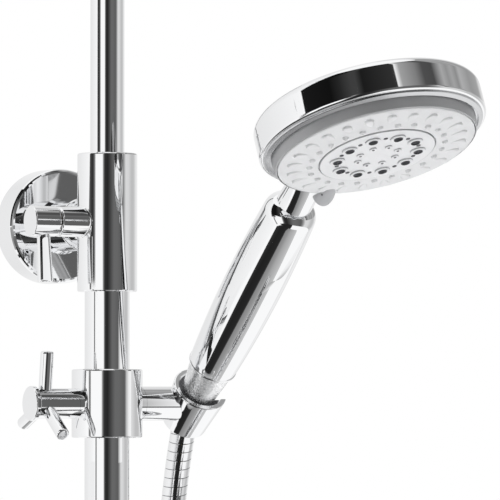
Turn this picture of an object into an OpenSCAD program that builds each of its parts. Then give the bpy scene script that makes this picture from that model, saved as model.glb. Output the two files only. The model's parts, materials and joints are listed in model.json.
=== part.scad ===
// Middle section of a shower system: a wall-fed diverter on a riser, a sliding holder,
// a handset with a turning spray face, and its metal hose.
// The origin is the centre of the wall flange's back face. +Z is up and -Y is the room.

/* [Wall fixing] */
// Distance from the wall to the riser's axis
wall_reach = 74; // [70:1:90]
// Diameter of the wall flange
flange_d = 64.8; // [58:0.2:72]
// Depth of the wall flange
flange_depth = 18.7; // [14:0.1:21]
// Wall thickness of the flange
flange_wall = 2; // [1.5:0.1:3]
// Diameter of the arm collar at the flange
collar_d = 32; // [30:0.1:35]
// Diameter of the arm collar's front end
collar_front_d = 29.6; // [28:0.1:32]
// Length of the arm collar
collar_length = 26.2; // [22:0.2:28]
// Outside diameter of the inlet stem
stem_d = 21.4; // [21.2:0.1:21.8]
// Bore of the inlet stem
stem_bore_d = 15; // [12:0.5:16]
// Length of thread that goes into the wall
thread_length = 15; // [12:1:20]

/* [Diverter] */
// Diameter of the diverter body
body_d = 33.3; // [32:0.1:38]
// Height of the diverter body
body_height = 77; // [70:1:90]
// Diameter of the rear boss that meets the collar
rear_boss_d = 26.4; // [26:0.1:27.5]
// Bore through the diverter body
water_bore_d = 15; // [12:0.5:16]
// Diameter of the diverter lever and its fixed sleeve
lever_d = 16.9; // [16.2:0.1:19]
// Distance from the riser's axis to the seam behind the lever
lever_seam_x = 31.5; // [30:0.5:34]
// Length of the lever hub
lever_length = 15.9; // [14:0.1:20]
// Diameter of the lever pin at its tip
lever_pin_tip_d = 8.8; // [6:0.1:10]
// Diameter of the lever pin at the hub
lever_pin_root_d = 6.8; // [5:0.1:7.5]
// Distance from the lever's axis to the pin's tip
lever_pin_reach = 34; // [26:0.5:36]
// Turn of the lever pin from straight down, towards the room
lever_turn = 5; // [0:1:20]
// Diameter of the diverter spindle
spindle_d = 6; // [5:0.1:6.5]
// Diameter of the diverter cartridge
cartridge_d = 12; // [11:0.1:12.5]

/* [Riser] */
// Outside diameter of the upper pipe
upper_pipe_d = 19; // [16:0.1:22]
// Outside diameter of the lower pipe, the slide rail
rail_d = 25; // [22:0.1:25.5]
// Wall thickness of both pipes
pipe_wall = 1.4; // [1:0.1:2]
// Depth of the sockets that the pipes sit in
socket_depth = 20; // [16:1:24]
// Height of the upper pipe's end
upper_pipe_top_z = 192; // [150:1:260]
// Height of the rail's lower end
rail_bottom_z = -352; // [-420:1:-330]
// Outside diameter of the pipe coupling
coupling_d = 25; // [23.5:0.1:30]
// Depth of each socket of the pipe coupling
coupling_socket = 16; // [12:1:20]
// Outside diameter of the hose outlet
outlet_d = 31; // [29:0.1:36]
// Diameter of the hose outlet's thread
outlet_thread_d = 20.9; // [20:0.1:21.5]
// Length of the hose outlet's thread
outlet_thread_length = 10; // [8:0.5:14]

/* [Slider] */
// Height of the slider's middle
slider_z = -100.5; // [-120:0.5:-98]
// Outside diameter of the slider
slider_d = 39.4; // [38.8:0.1:43]
// Height of the slider
slider_height = 38; // [34:0.5:44]
// Wall of the slide bush
bush_wall = 3; // [2:0.1:3.2]
// Distance from the rail's axis to the seam behind the knob
knob_seam_x = 20.6; // [20.4:0.2:25]
// Diameter of the knob hub
knob_d = 16.8; // [16:0.1:19]
// Length of the knob hub
knob_length = 24.2; // [20:0.1:28]
// Diameter of the knob cap
knob_cap_d = 19.3; // [18.5:0.1:24]
// Thickness of the knob cap
knob_cap_t = 3; // [2:0.1:4]
// Diameter of the knob pins
knob_pin_d = 7.4; // [6:0.1:8]
// Distance from the knob's axis to the pins' tips
knob_pin_reach = 29; // [22:0.5:30]
// Number of knob pins
knob_pin_count = 3; // [2:1:4]
// Turn of the first pin from straight up, towards the room
knob_turn = 7; // [0:1:20]
// Diameter of the clamp screw
clamp_screw_d = 8; // [6:0.1:9]

/* [Holder] */
// Distance from the rail's axis to the cup's axis
holder_x = 54.2; // [52:0.2:62]
// Tilt of the handset from upright, towards the room
tilt = 47; // [30:1:60]
// Turn of the handset in its cup
handset_turn = 2; // [-10:1:10]
// Diameter of the holder arm
arm_d = 19; // [18.2:0.1:21]
// Distance from the rail's axis to the holder's seam
arm_seam_x = 20.2; // [20:0.1:23]
// Outside diameter of the cup's rim
cup_rim_d = 31.2; // [30.6:0.1:35]
// Outside diameter of the cup's lower end
cup_end_d = 26; // [25.4:0.1:28]
// Height of the rim above the arm's axis, along the cup
cup_above = 12; // [10:0.5:14]
// Depth of the lower end below the arm's axis, along the cup
cup_below = 15; // [13:0.5:18]
// Width of the cup's slot for the hose
slot_width = 15.6; // [15:0.1:16.5]
// Diameter of the pivot spigot
spigot_d = 10; // [8:0.1:11]

/* [Handset] */
// Height of the handle's lower end above the arm's axis, along the handle
handle_start = 31.6; // [30:0.2:36]
// Length of the handle's barrel
barrel_length = 127; // [110:1:140]
// Diameter of the barrel at its lower end
barrel_start_d = 27.2; // [26:0.1:29]
// Diameter of the barrel at its widest
barrel_belly_d = 32.4; // [30:0.1:36]
// Distance from the barrel's lower end to its widest place
barrel_belly_z = 69; // [55:1:75]
// Diameter of the head
head_d = 122.4; // [116:0.2:128]
// Height of the head's side band
band_height = 19; // [15:0.5:22]
// Rise of the head's domed back
crown_rise = 8; // [5:0.5:12]
// Wall thickness of the head
head_wall = 2.6; // [2:0.1:3.4]
// Distance along the handle from the arm's axis to the centre of the face
face_along = 236.4; // [232:0.2:242]
// Distance from the handle's axis down to the centre of the face
face_below = 40.4; // [38:0.2:44]
// Angle between the handle and the plane of the face
face_angle = 20.8; // [17:0.2:25]
// Width of the rim round the spray face
rim_width = 8.1; // [6:0.1:10]
// Height of the bevel round the face
bevel_height = 7.8; // [6:0.1:9]
// Width of the selector tab at the face
tab_width = 11.4; // [9:0.2:16]
// Height of the selector tab
tab_height = 5.5; // [3:0.5:7]
// Turn of the spray face at rest
selector_turn = 3; // [0:1:10]

/* [Cone nut] */
// Outside diameter of the cone nut at the handle
nut_top_d = 25.6; // [25:0.1:26.5]
// Outside diameter of the cone nut at its lower end
nut_end_d = 18.2; // [17.9:0.1:18.8]
// Height of the nut's lower end above the arm's axis, along the cup
nut_end = 3; // [2:0.5:5]

/* [Hose] */
// Length of the hose between its end fittings
hose_length = 1500; // [1480:1:1520]
// Outside diameter of the hose
hose_d = 14; // [13:0.1:14.4]
// Bore of the hose
hose_bore_d = 8; // [7:0.1:9]
// Depth of the groove between the hose's ribs
rib_depth = 0.7; // [0.4:0.1:1]
// Spacing of the hose's ribs
rib_pitch = 5.2; // [4.6:0.1:6]

/* [Hidden] */

$fn = 72;
fit_gap = 0.05;      // radial clearance of a fit or a turning shaft
seam_gap = 0.4;      // open seam between a fixed piece and a turning one
close_gap = 0.1;     // closed seam that hardly shows
seam_edge = 1.1;     // edge rounding at the lever's open seam
face_gap = 0.05;     // gap between two flat faces that slide on each other
edge = 0.8;          // usual edge rounding
cut = 1;             // how far a cutting shape runs past a face
chrome = [0.86, 0.87, 0.89];
brass = [0.80, 0.66, 0.36];
ceramic = [0.93, 0.92, 0.88];
rubber = [0.12, 0.12, 0.13];
soft_white = [0.90, 0.90, 0.91];
white_plastic = [0.88, 0.88, 0.89];
grey_plastic = [0.72, 0.73, 0.74];
dark_plastic = [0.25, 0.25, 0.27];
steel = [0.62, 0.63, 0.65];

// Seals
seal_section = 1.4;
seal_room = 0.03;

// Places along the wall arm, measured from the wall
collar_end = flange_depth + collar_length;
stem_in_boss = 8;
stem_end = collar_end + stem_in_boss;
foam_t = 2;
foam_width = 4;

// Places along the lever, measured from the riser's axis
disc_seat_x = 7.8;
disc_t = 2.5;
moving_disc_x = disc_seat_x + disc_t + 2 * face_gap;
cartridge_start_x = moving_disc_x + disc_t + face_gap;
cartridge_seal_x = cartridge_start_x + seal_section / 2 + 0.15;
cartridge_flange_t = 1.8;
cartridge_boss_end_x = lever_seam_x - cartridge_flange_t - 1;
cartridge_boss_d = cartridge_d + 2;
cartridge_flange_d = cartridge_boss_d - 0.2;
lever_start_x = lever_seam_x + seam_gap;
lever_end_x = lever_start_x + lever_length;
lever_pin_inset = 8;
lever_pin_x = lever_end_x - lever_pin_inset;
spindle_end_x = lever_end_x - 4;
lever_pin_shank_d = 4;

// Pipe fittings
grub_d = 5;
grub_length = 5;
coupling_step = 2;
coupling_height = 2 * coupling_socket + coupling_step;
coupling_z = upper_pipe_top_z - coupling_socket;
outlet_grip = 14;
outlet_nose = 14;
outlet_bore_d = 12;

// Slider
lip_t = 1.2;
bush_d = rail_d + 2 * bush_wall;
bush_height = slider_height - 2 * lip_t - 2 * face_gap;
slider_bore_d = bush_d + 2 * fit_gap;
pad_x = bush_d / 2 + 0.15;
pad_t = knob_seam_x - pad_x - 0.95;
knob_start_x = knob_seam_x + close_gap;
knob_end_x = knob_start_x + knob_length;
knob_pin_inset = 6.1;
knob_pin_x = knob_end_x - knob_pin_inset;
knob_pin_shank_d = 4;
clamp_screw_end_x = knob_end_x - 2.5;

// Holder
washer_t = 0.5;
arm_start_x = arm_seam_x + close_gap;
washer_d = arm_d - 3;
spigot_start_x = slider_d / 2 - 2.2;
pivot_head_t = 1.4;
pivot_head_d = 12;
pivot_screw_d = 5;
liner_wall = 1.9;
liner_below = 1;
liner_recess = 0.8;
rim_chamfer = 0.8;
throat_d = 19;

// Nut and ferrule, measured along the cup from the arm's axis
nut_slope = (nut_top_d - nut_end_d) / (handle_start - nut_end);
thread_depth = 10;
thread_d = 20.9;
insert_bore_d = 13;
insert_length = 28;
washer_seat = 2;
ferrule_flange_t = 2;
nut_shoulder = handle_start - thread_depth - washer_seat - ferrule_flange_t - 3 * face_gap;
ferrule_d = 15.8;
ferrule_end = nut_end - 1;
ferrule_bore_d = 10;

// Handset
barrel_end = handle_start + barrel_length;
barrel_rise = (barrel_belly_d - barrel_start_d) / 2;
barrel_arc = (pow(barrel_belly_z, 2) + pow(barrel_rise, 2)) / (2 * barrel_rise);
function barrel_r(z) = barrel_belly_d / 2 - barrel_arc
    + sqrt(pow(barrel_arc, 2) - pow(z - barrel_belly_z, 2));
heel_r = 11.6;
shoulder_r = 3;
band_low = -bevel_height;
band_top = band_low - band_height;
plate_t = 3;
face_d = head_d - 2 * rim_width;
plate_top = band_low - 6;
band_edge = 0.5;
bezel_outer_r = head_d / 2 - band_edge;
bezel_inner_r = head_d / 2 - 3;
bezel_z = band_low + 2.6;
bevel_seat = 1.6;
ring_inner_r = face_d / 2 + 0.3;
cavity_d = head_d - 2 * head_wall;
pin_d = 6;
screw_head_d = 10;
screw_head_t = 2;
nozzle_band = 23.6;   // width of the face outside the jet disc
jet_disc_d = face_d - 2 * nozzle_band;
jet_disc_t = 2.8;
jet_inset = 7.4;
jet_boss_d = 8;
dimple_circle_r = 11;
jet_circle_r = jet_disc_d / 2 - jet_inset;
jet_turn = 21;        // turn of the jets from the selector tab's axis
jet_rise = 2.2;
face_plate_t = 5;
skirt_wall = 2.2;
nozzle_pad_inner_r = jet_disc_d / 2 + 2.5;
nozzle_pad_outer_r = face_d / 2 - 2.4;
nozzle_pad_t = 0.8;

// Hose route. Points are [towards the wall, up], in mm from the arm's axis.
drop_points = [
    [13.2, -19.8], [17.1, -31.8], [20.4, -44], [23.2, -56.3], [25.2, -68.8], [26.2, -81.5],
    [26.4, -94.2], [26.4, -107], [26.4, -119.8], [26.4, -132.6], [26.4, -145.4], [26.4, -158.2]
];
coil_entry_r = 76.5;      // radius of the coil where the hose enters it
coil_turns = 3.15;        // turns in the coil
coil_step = hose_d + 0.8; // spacing of the coil's turns, along and across
coil_rings = 24;          // rings in each turn
tail_steps = 4;           // rings in the straight stretch after the coil
drop_sides = 8;
coil_sides = 6;
tie_angle = 90;      // turn of the tie from the hose's entry
tie_width = 12;
tie_t = 1.4;
tie_gap = 0.5;

// Placing helpers
module at_riser(z = 0) translate([0, -wall_reach, z]) children();
module towards_room() rotate([90, 0, 0]) children();
module to_left() rotate([0, -90, 0]) children();
module to_right() rotate([0, 90, 0]) children();
module at_slider() at_riser(slider_z) children();
module in_cup() translate([holder_x, -wall_reach, slider_z]) rotate([tilt, 0, 0]) children();
module in_hand() in_cup() rotate([0, 0, handset_turn]) children();
module in_head() in_hand() in_head_of_handle() children();
module in_head_of_handle() translate([0, -face_below, face_along])
    rotate([90 + face_angle, 0, 0]) children();
module on_face() in_head() rotate(-selector_turn) children();

// Shape helpers
function arc(cx, cy, r, from, to, steps = 4) =
    [for (i = [0:steps]) [cx + r * cos(from + (to - from) * i / steps),
                          cy + r * sin(from + (to - from) * i / steps)]];

// A solid of revolution with rounded outer edges at both ends, or with one end left sharp.
module rounded_rod(d, z0, z1, r0 = edge, r1 = edge) {
    rotate_extrude()
        polygon(concat(
            [[0, z0]],
            r0 > 0 ? arc(d / 2 - r0, z0 + r0, r0, -90, 0) : [[d / 2, z0]],
            r1 > 0 ? arc(d / 2 - r1, z1 - r1, r1, 0, 90) : [[d / 2, z1]],
            [[0, z1]]));
}

module rod(d, z0, z1) translate([0, 0, z0]) cylinder(d = d, h = z1 - z0);

module cone(d0, d1, z0, z1) translate([0, 0, z0]) cylinder(d1 = d0, d2 = d1, h = z1 - z0);

module ring(outer_d, inner_d, z0, z1) difference() {
    rod(outer_d, z0, z1);
    rod(inner_d, z0 - cut, z1 + cut);
}

module o_ring(inner_d, z) translate([0, 0, z]) rotate_extrude()
    translate([inner_d / 2 + seal_room / 2 + seal_section / 2, 0]) circle(d = seal_section, $fn = 24);

module o_ring_groove(inner_d, z)
    rod(inner_d + 2 * seal_section + 3 * seal_room, z - seal_section / 2 - seal_room,
        z + seal_section / 2 + seal_room);

// A set screw with a hexagon socket, its flat end at z0.
module grub_screw(d, z0, length) difference() {
    rod(d, z0, z0 + length);
    translate([0, 0, z0 + length - 2.2]) cylinder(d = d / 2, h = 2.2 + cut, $fn = 6);
}

// Wall fixing
module wall_flange() color(chrome) towards_room() difference() {
    rounded_rod(flange_d, 0, flange_depth, 0.3, 2.4);
    rotate_extrude() polygon([
        [0, -cut], [flange_d / 2 - flange_wall, -cut],
        [flange_d / 2 - flange_wall, flange_depth - flange_wall - 2],
        [flange_d / 2 - flange_wall - 2, flange_depth - flange_wall],
        [0, flange_depth - flange_wall]]);
    rod(stem_d + 2 * fit_gap, 0, flange_depth + cut);
}

module flange_seal() color(rubber) towards_room()
    ring(flange_d - 2 * flange_wall - 0.4, flange_d - 2 * flange_wall - 2 * foam_width, 0, foam_t);

module inlet_stem() color(brass) towards_room() difference() {
    union() {
        rod(thread_d, -thread_length, 0);
        rod(stem_d, 0, stem_end);
    }
    rod(stem_bore_d, -thread_length - cut, stem_end + cut);
}

module arm_collar() color(chrome) towards_room() difference() {
    rotate_extrude() polygon(concat(
        [[0, flange_depth], [collar_d / 2, flange_depth]],
        [[collar_front_d / 2, flange_depth + 5]],
        arc(collar_front_d / 2 - edge, collar_end - edge, edge, 0, 90),
        [[0, collar_end]]));
    rod(stem_d + 2 * fit_gap, 0, collar_end + cut);
    collar_screw_place() rod(grub_d + 2 * fit_gap, 0, collar_d);
}

module collar_screw_place() translate([0, 0, flange_depth + collar_length / 2])
    rotate([90, 0, 0]) children();

module collar_screw() color(steel) towards_room() collar_screw_place()
    grub_screw(grub_d, stem_d / 2 + 2 * fit_gap, collar_front_d / 2 - stem_d / 2 - 0.6);

module stem_seal() color(rubber) towards_room() o_ring(stem_d, collar_end + stem_in_boss / 2);

// Diverter
module diverter_body() color(chrome) difference() {
    union() {
        at_riser() rounded_rod(body_d, -body_height / 2, body_height / 2, 1, 1);
        towards_room() rod(rear_boss_d, collar_end, wall_reach);
        at_riser() to_left() rod(cartridge_boss_d, 0, cartridge_boss_end_x);
    }
    at_riser() {
        rod(water_bore_d, -body_height, body_height);
        rod(upper_pipe_d + 2 * fit_gap, body_height / 2 - socket_depth, body_height);
        rod(rail_d + 2 * fit_gap, -body_height, socket_depth - body_height / 2);
        o_ring_groove(upper_pipe_d, body_height / 2 - socket_depth / 2);
        o_ring_groove(rail_d, socket_depth / 2 - body_height / 2);
        to_left() {
            rod(cartridge_d + 2 * fit_gap, disc_seat_x, lever_seam_x);
            rod(cartridge_d - 3, 0, disc_seat_x + cut);
            o_ring_groove(cartridge_d, cartridge_seal_x);
        }
    }
    towards_room() {
        rod(stem_d + 2 * fit_gap, 0, stem_end + face_gap);
        rod(stem_bore_d - 1, stem_end, wall_reach);
        o_ring_groove(stem_d, collar_end + stem_in_boss / 2);
    }
    pipe_screw_places() rod(grub_d + 2 * fit_gap, 0, body_d);
}

// Both grub screws enter from the wall side, above and below the rear boss.
module pipe_screw_places() for (z = [-1, 1])
    at_riser(z * (body_height / 2 - socket_depth / 4)) rotate([-90, 0, 0]) children();

module pipe_screws() color(steel) {
    at_riser(body_height / 2 - socket_depth / 4) rotate([-90, 0, 0])
        grub_screw(grub_d, upper_pipe_d / 2 + 0.02, grub_length);
    at_riser(socket_depth / 4 - body_height / 2) rotate([-90, 0, 0])
        grub_screw(grub_d, rail_d / 2 + 0.02, body_d / 2 - rail_d / 2 - 0.5);
}

module cartridge_sleeve() color(chrome) at_riser() difference() {
    to_left() rounded_rod(lever_d, 0, lever_seam_x, 0, seam_edge);
    to_left() rod(cartridge_boss_d + 2 * fit_gap, -cut, lever_seam_x + cut);
    rod(body_d + 2 * fit_gap, -lever_d, lever_d);
}

module cartridge_body() color(brass) at_riser() to_left() difference() {
    union() {
        rod(cartridge_d, cartridge_start_x, cartridge_boss_end_x + cartridge_flange_t);
        rod(cartridge_flange_d, cartridge_boss_end_x + face_gap,
            cartridge_boss_end_x + cartridge_flange_t);
    }
    rod(spindle_d + 2 * fit_gap, 0, lever_seam_x);
}

module fixed_disc() color(ceramic) at_riser() to_left() difference() {
    rod(cartridge_d, disc_seat_x + face_gap, disc_seat_x + face_gap + disc_t);
    for (side = [-1, 1]) translate([side * cartridge_d / 4.4, 0, 0])
        rod(cartridge_d / 4, disc_seat_x - cut, disc_seat_x + disc_t + cut);
}

module cartridge_seal() color(rubber) at_riser() to_left() o_ring(cartridge_d, cartridge_seal_x);

module moving_disc() color(ceramic) at_riser() to_left() difference() {
    rod(cartridge_d - 0.6, moving_disc_x, moving_disc_x + disc_t - face_gap);
    translate([cartridge_d / 4.4, 0, 0])
        rod(cartridge_d / 4, moving_disc_x - cut, moving_disc_x + disc_t / 2);
}

module diverter_spindle() color(brass) at_riser() to_left()
    rod(spindle_d, moving_disc_x + disc_t - face_gap, spindle_end_x);

module lever_hub() color(chrome) at_riser() difference() {
    to_left() rounded_rod(lever_d, lever_start_x, lever_end_x, seam_edge, 0.7);
    to_left() rod(spindle_d + 2 * fit_gap, lever_start_x - cut, spindle_end_x + face_gap);
    lever_pin_place() rod(lever_pin_shank_d + 2 * fit_gap, 0, lever_d);
}

module lever_pin_place() translate([-lever_pin_x, 0, 0]) rotate([180 - lever_turn, 0, 0]) children();

module lever_pin() color(chrome) at_riser() lever_pin_place() {
    difference() {
        rotate_extrude() polygon(concat(
            [[0, 0], [lever_pin_root_d / 2, 0]],
            arc(lever_pin_tip_d / 2 - 1.2, lever_pin_reach - 1.2, 1.2, 0, 90),
            [[0, lever_pin_reach]]));
        rotate([0, 90, 0]) rod(lever_d + 2 * fit_gap, -lever_pin_tip_d, lever_pin_tip_d);
    }
    rod(lever_pin_shank_d, spindle_d / 2 + 2 * fit_gap, lever_d / 2 + 1);
}

// Riser
module upper_pipe() color(chrome) at_riser()
    ring(upper_pipe_d, upper_pipe_d - 2 * pipe_wall,
         body_height / 2 - socket_depth + face_gap, upper_pipe_top_z);

module lower_pipe() color(chrome) at_riser()
    ring(rail_d, rail_d - 2 * pipe_wall,
         rail_bottom_z, socket_depth - body_height / 2 - face_gap);

module upper_pipe_seal() color(rubber) at_riser() o_ring(upper_pipe_d, body_height / 2 - socket_depth / 2);

module lower_pipe_seal() color(rubber) at_riser() o_ring(rail_d, socket_depth / 2 - body_height / 2);

module pipe_coupling() color(chrome) at_riser() difference() {
    rounded_rod(coupling_d, coupling_z, coupling_z + coupling_height);
    rod(upper_pipe_d + 2 * fit_gap, coupling_z - cut, upper_pipe_top_z + face_gap);
    rod(upper_pipe_d - 2 * pipe_wall, coupling_z, coupling_z + coupling_height);
    rod(upper_pipe_d + 2 * fit_gap, upper_pipe_top_z + coupling_step, coupling_z + coupling_height + cut);
    coupling_screw_place() rod(grub_d + 2 * fit_gap, 0, coupling_d);
}

module coupling_screw_place() translate([0, 0, coupling_z + coupling_socket / 2])
    rotate([-90, 0, 0]) children();

module coupling_screws() color(steel) at_riser() coupling_screw_place()
    grub_screw(grub_d, upper_pipe_d / 2 + 0.02, coupling_d / 2 - upper_pipe_d / 2 - 0.4);

module hose_outlet() color(chrome) at_riser() difference() {
    rotate_extrude() polygon(concat(
        [[0, rail_bottom_z + outlet_grip]],
        arc(outlet_d / 2 - edge, rail_bottom_z + outlet_grip - edge, edge, 90, 0),
        [[outlet_d / 2, rail_bottom_z - 3], [outlet_thread_d / 2 + 1.2, rail_bottom_z - outlet_nose],
         [outlet_thread_d / 2, rail_bottom_z - outlet_nose],
         [outlet_thread_d / 2, rail_bottom_z - outlet_nose - outlet_thread_length],
         [0, rail_bottom_z - outlet_nose - outlet_thread_length]]));
    rod(rail_d + 2 * fit_gap, rail_bottom_z - face_gap, rail_bottom_z + outlet_grip + cut);
    rod(outlet_bore_d, rail_bottom_z - outlet_nose - outlet_thread_length - cut, rail_bottom_z);
    o_ring_groove(rail_d, rail_bottom_z + outlet_grip / 2);
}

module outlet_seal() color(rubber) at_riser() o_ring(rail_d, rail_bottom_z + outlet_grip / 2);

// Slider
module slide_bush() color(grey_plastic) at_slider()
    ring(bush_d, rail_d + 2 * fit_gap, -bush_height / 2, bush_height / 2);

module slider_body() color(chrome) at_slider() difference() {
    union() {
        rounded_rod(slider_d, -slider_height / 2, slider_height / 2, 1, 1);
        to_left() rod(knob_d, bush_d / 2, knob_seam_x);
        to_right() rod(arm_d, bush_d / 2, arm_seam_x);
    }
    rod(slider_bore_d, lip_t - slider_height / 2, slider_height / 2 - lip_t);
    rod(rail_d + 1, -slider_height, slider_height);
    to_left() rod(clamp_screw_d + 2 * fit_gap, 0, knob_seam_x + cut);
    to_right() {
        rod(pivot_head_d + 0.4, 0, spigot_start_x - face_gap);
        rod(spigot_d + 2 * fit_gap, 0, arm_seam_x + cut);
    }
}

module clamp_pad() color(brass) at_slider() to_left() rod(clamp_screw_d, pad_x, pad_x + pad_t);

module clamp_screw() color(steel) at_slider() to_left()
    rod(clamp_screw_d, pad_x + pad_t + face_gap, clamp_screw_end_x);

module knob_hub() color(chrome) at_slider() to_left() difference() {
    rounded_rod(knob_d, knob_start_x, knob_end_x, 0, 0);
    rod(clamp_screw_d + 2 * fit_gap, knob_start_x - cut, clamp_screw_end_x + face_gap);
    knob_pin_places() rod(knob_pin_shank_d + 2 * fit_gap, 0, knob_d);
}

// The first pin stands nearly upright, and the others follow at equal angles.
module knob_pin_places() translate([0, 0, knob_pin_x])
    for (i = [0:knob_pin_count - 1])
        rotate([0, 0, -knob_turn - 360 * i / knob_pin_count]) rotate([0, 90, 0]) children();

module knob_cap() color(chrome) at_slider() to_left()
    rounded_rod(knob_cap_d, knob_end_x, knob_end_x + knob_cap_t, 0.5, 0.9);

module knob_pins() color(chrome) at_slider() to_left() {
    difference() {
        knob_pin_places() rounded_rod(knob_pin_d, 0, knob_pin_reach, 0, 1.2);
        rod(knob_d + 2 * fit_gap, 0, knob_end_x + knob_cap_t);
    }
    knob_pin_places() rod(knob_pin_shank_d, clamp_screw_d / 2 + 2 * fit_gap, knob_d / 2 + 1);
}

// Holder
module cup_holder() color(chrome) difference() {
    union() {
        at_slider() to_right() {
            rod(arm_d, arm_start_x, holder_x);
            rod(spigot_d, spigot_start_x, arm_start_x);
        }
        in_cup() rotate_extrude() polygon(concat(
            [[0, -cup_below]],
            arc(cup_end_d / 2 - edge, edge - cup_below, edge, -90, 0),
            arc(cup_rim_d / 2 - edge, cup_above - edge, edge, 0, 90),
            [[0, cup_above]]));
    }
    in_cup() {
        rod(liner_bore_d(), -liner_below, cup_above + cut);
        cone(liner_bore_d(), liner_bore_d() + 2 * rim_chamfer + 0.02, cup_above - rim_chamfer,
             cup_above + 0.01);
        cone(cup_end_d - 2, throat_d, -cup_below, -liner_below - 4);
        rod(cup_end_d - 2, -cup_below - cut, -cup_below);
        rod(throat_d, -liner_below - 4, cup_above);
        cup_slot();
    }
    at_slider() to_right() {
        rod(pivot_screw_d + 2 * fit_gap, 0, arm_start_x + 10);
        ring(washer_d + 0.4, spigot_d, arm_start_x - cut, arm_seam_x + washer_t + 2 * face_gap);
    }
}

function liner_bore_d() = nut_at(cup_above) + 2 * liner_wall;
function nut_at(z) = nut_end_d + nut_slope * (z - nut_end);

module cup_slot() translate([0, -slot_width / 2, -cup_below - cut])
    cube([cup_rim_d, slot_width, cup_above + cup_below + 2 * cut]);

module cup_liner() color(dark_plastic) in_cup() difference() {
    rod(liner_bore_d() - 4 * fit_gap, face_gap - liner_below, cup_above - liner_recess);
    rod(nut_at(nut_end) + 4 * fit_gap, -liner_below - cut, nut_end);
    cone(nut_at(nut_end) + 4 * fit_gap, nut_at(cup_above) + 4 * fit_gap, nut_end - 0.001, cup_above);
    cup_slot();
}

module tilt_washer() color(dark_plastic) at_slider() to_right()
    ring(washer_d, spigot_d + 2 * fit_gap, arm_seam_x + face_gap, arm_seam_x + face_gap + washer_t);

module pivot_screw() color(steel) at_slider() to_right() {
    rod(pivot_screw_d, spigot_start_x - 2 * face_gap, arm_start_x + 9);
    difference() {
        rod(pivot_head_d, spigot_start_x - 2 * face_gap - pivot_head_t, spigot_start_x - 2 * face_gap);
        translate([0, 0, spigot_start_x - 2 * face_gap - pivot_head_t - cut])
            cylinder(d = 4, h = cut + 0.9, $fn = 6);
    }
}

// Nut and ferrule
module cone_nut() color(chrome) in_hand() difference() {
    rotate_extrude() polygon([
        [0, nut_end], [nut_end_d / 2, nut_end], [nut_top_d / 2, handle_start], [0, handle_start]]);
    rod(thread_d + 2 * fit_gap, nut_shoulder, handle_start + cut);
    rod(ferrule_d + 2 * fit_gap, nut_end - cut, handle_start);
}

module nut_washer() color(rubber) in_hand()
    ring(thread_d - 0.4, insert_bore_d - 2,
         handle_start - thread_depth - washer_seat, handle_start - thread_depth - face_gap);

module hose_ferrule() color(brass) in_cup() difference() {
    union() {
        rod(ferrule_d, ferrule_end, nut_shoulder + face_gap);
        rod(thread_d, nut_shoulder + face_gap, nut_shoulder + face_gap + ferrule_flange_t);
    }
    rod(ferrule_bore_d, ferrule_end - cut, handle_start);
}

// Handset
module barrel() rotate_extrude() polygon(concat(
    [[0, handle_start]],
    arc(barrel_r(0) - edge, handle_start + edge, edge, -90, 0, 3),
    [for (i = [1:15]) [barrel_r(barrel_length * i / 16), handle_start + barrel_length * i / 16]],
    arc(barrel_r(barrel_length) - shoulder_r, barrel_end - shoulder_r, shoulder_r, 0, 90, 5),
    [[0, barrel_end]]));

module neck() hull() {
    translate([0, 0, barrel_end - 4]) sphere(r = heel_r, $fn = 40);
    in_head_of_handle() for (side = [-1, 1])
        translate([side * 5, 15 - head_d / 2, band_top - 1.5])
            cylinder(r = 8.5, h = band_height - 6, $fn = 32);
}

module head_outer() rotate_extrude($fn = 120) polygon(concat(
    [[0, band_low], [head_d / 2 - band_edge, band_low], [head_d / 2, band_low - band_edge]],
    arc(head_d / 2 - 5, band_top + 5, 5, 0, -70, 6),
    crown_arc(head_d / 2 - 8, band_top, 8)));

// Points of the domed back, from its rim to its centre.
function crown_arc(rim_r, rim_z, steps) =
    [for (i = [1:steps]) let (r = rim_r * (1 - i / steps))
        [r, rim_z - crown_rise * (1 - pow(r / rim_r, 2))]];

module head_cavity() rotate_extrude($fn = 120) polygon([
    [0, cut], [cavity_d / 2, cut],
    [cavity_d / 2, band_top + 6], [cavity_d / 2 - 4, band_top + head_wall],
    [0, band_top + head_wall - crown_rise * 0.7]]);

module handset_body() color(chrome) in_hand() difference() {
    union() {
        barrel();
        neck();
        in_head_of_handle() head_outer();
    }
    in_head_of_handle() {
        head_cavity();
        rod(head_d + 2 * fit_gap, band_low, face_d / 4);
    }
    rod(thread_d + 2 * fit_gap, handle_start - cut, barrel_end - 6);
    waterway() cylinder(d = 10, h = waterway_length());
}

// The waterway runs from the top of the handle's bore into the head.
waterway_end = head_point(27 - head_d / 2, band_low - 6.5);
// A point of the head's middle plane, in the handle's frame.
function head_point(y, z) = let (a = 90 + face_angle)
    [0, y * cos(a) - z * sin(a) - face_below, y * sin(a) + z * cos(a) + face_along];
function waterway_rise() = [0, waterway_end[1], waterway_end[2] - (barrel_end - 10)];
function waterway_length() = norm(waterway_rise());
module waterway() translate([0, 0, barrel_end - 10])
    rotate([atan2(-waterway_rise()[1], waterway_rise()[2]), 0, 0]) children();

module handle_insert() color(brass) in_hand()
    ring(thread_d, insert_bore_d, handle_start - thread_depth, handle_start + insert_length);

module waterway_tube() color(grey_plastic) in_hand()
    ring(thread_d - 4, insert_bore_d, handle_start + insert_length + face_gap, barrel_end - 6 - face_gap);

// The bright bezel steps down to a shelf that the bevel ring stands on.
module rim_ring() color(chrome) in_head() rotate_extrude($fn = 120) polygon([
    [bezel_outer_r, band_low + face_gap], [bezel_outer_r, band_low + 0.7],
    [bezel_outer_r - 0.4, band_low + 1.1], [bezel_inner_r, bezel_z],
    [bezel_inner_r, bezel_z - bevel_seat], [ring_inner_r, bezel_z - bevel_seat],
    [ring_inner_r, plate_top + face_gap], [cavity_d / 2 - 0.1, plate_top + face_gap],
    [cavity_d / 2 - 0.1, band_low + face_gap]]);

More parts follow.
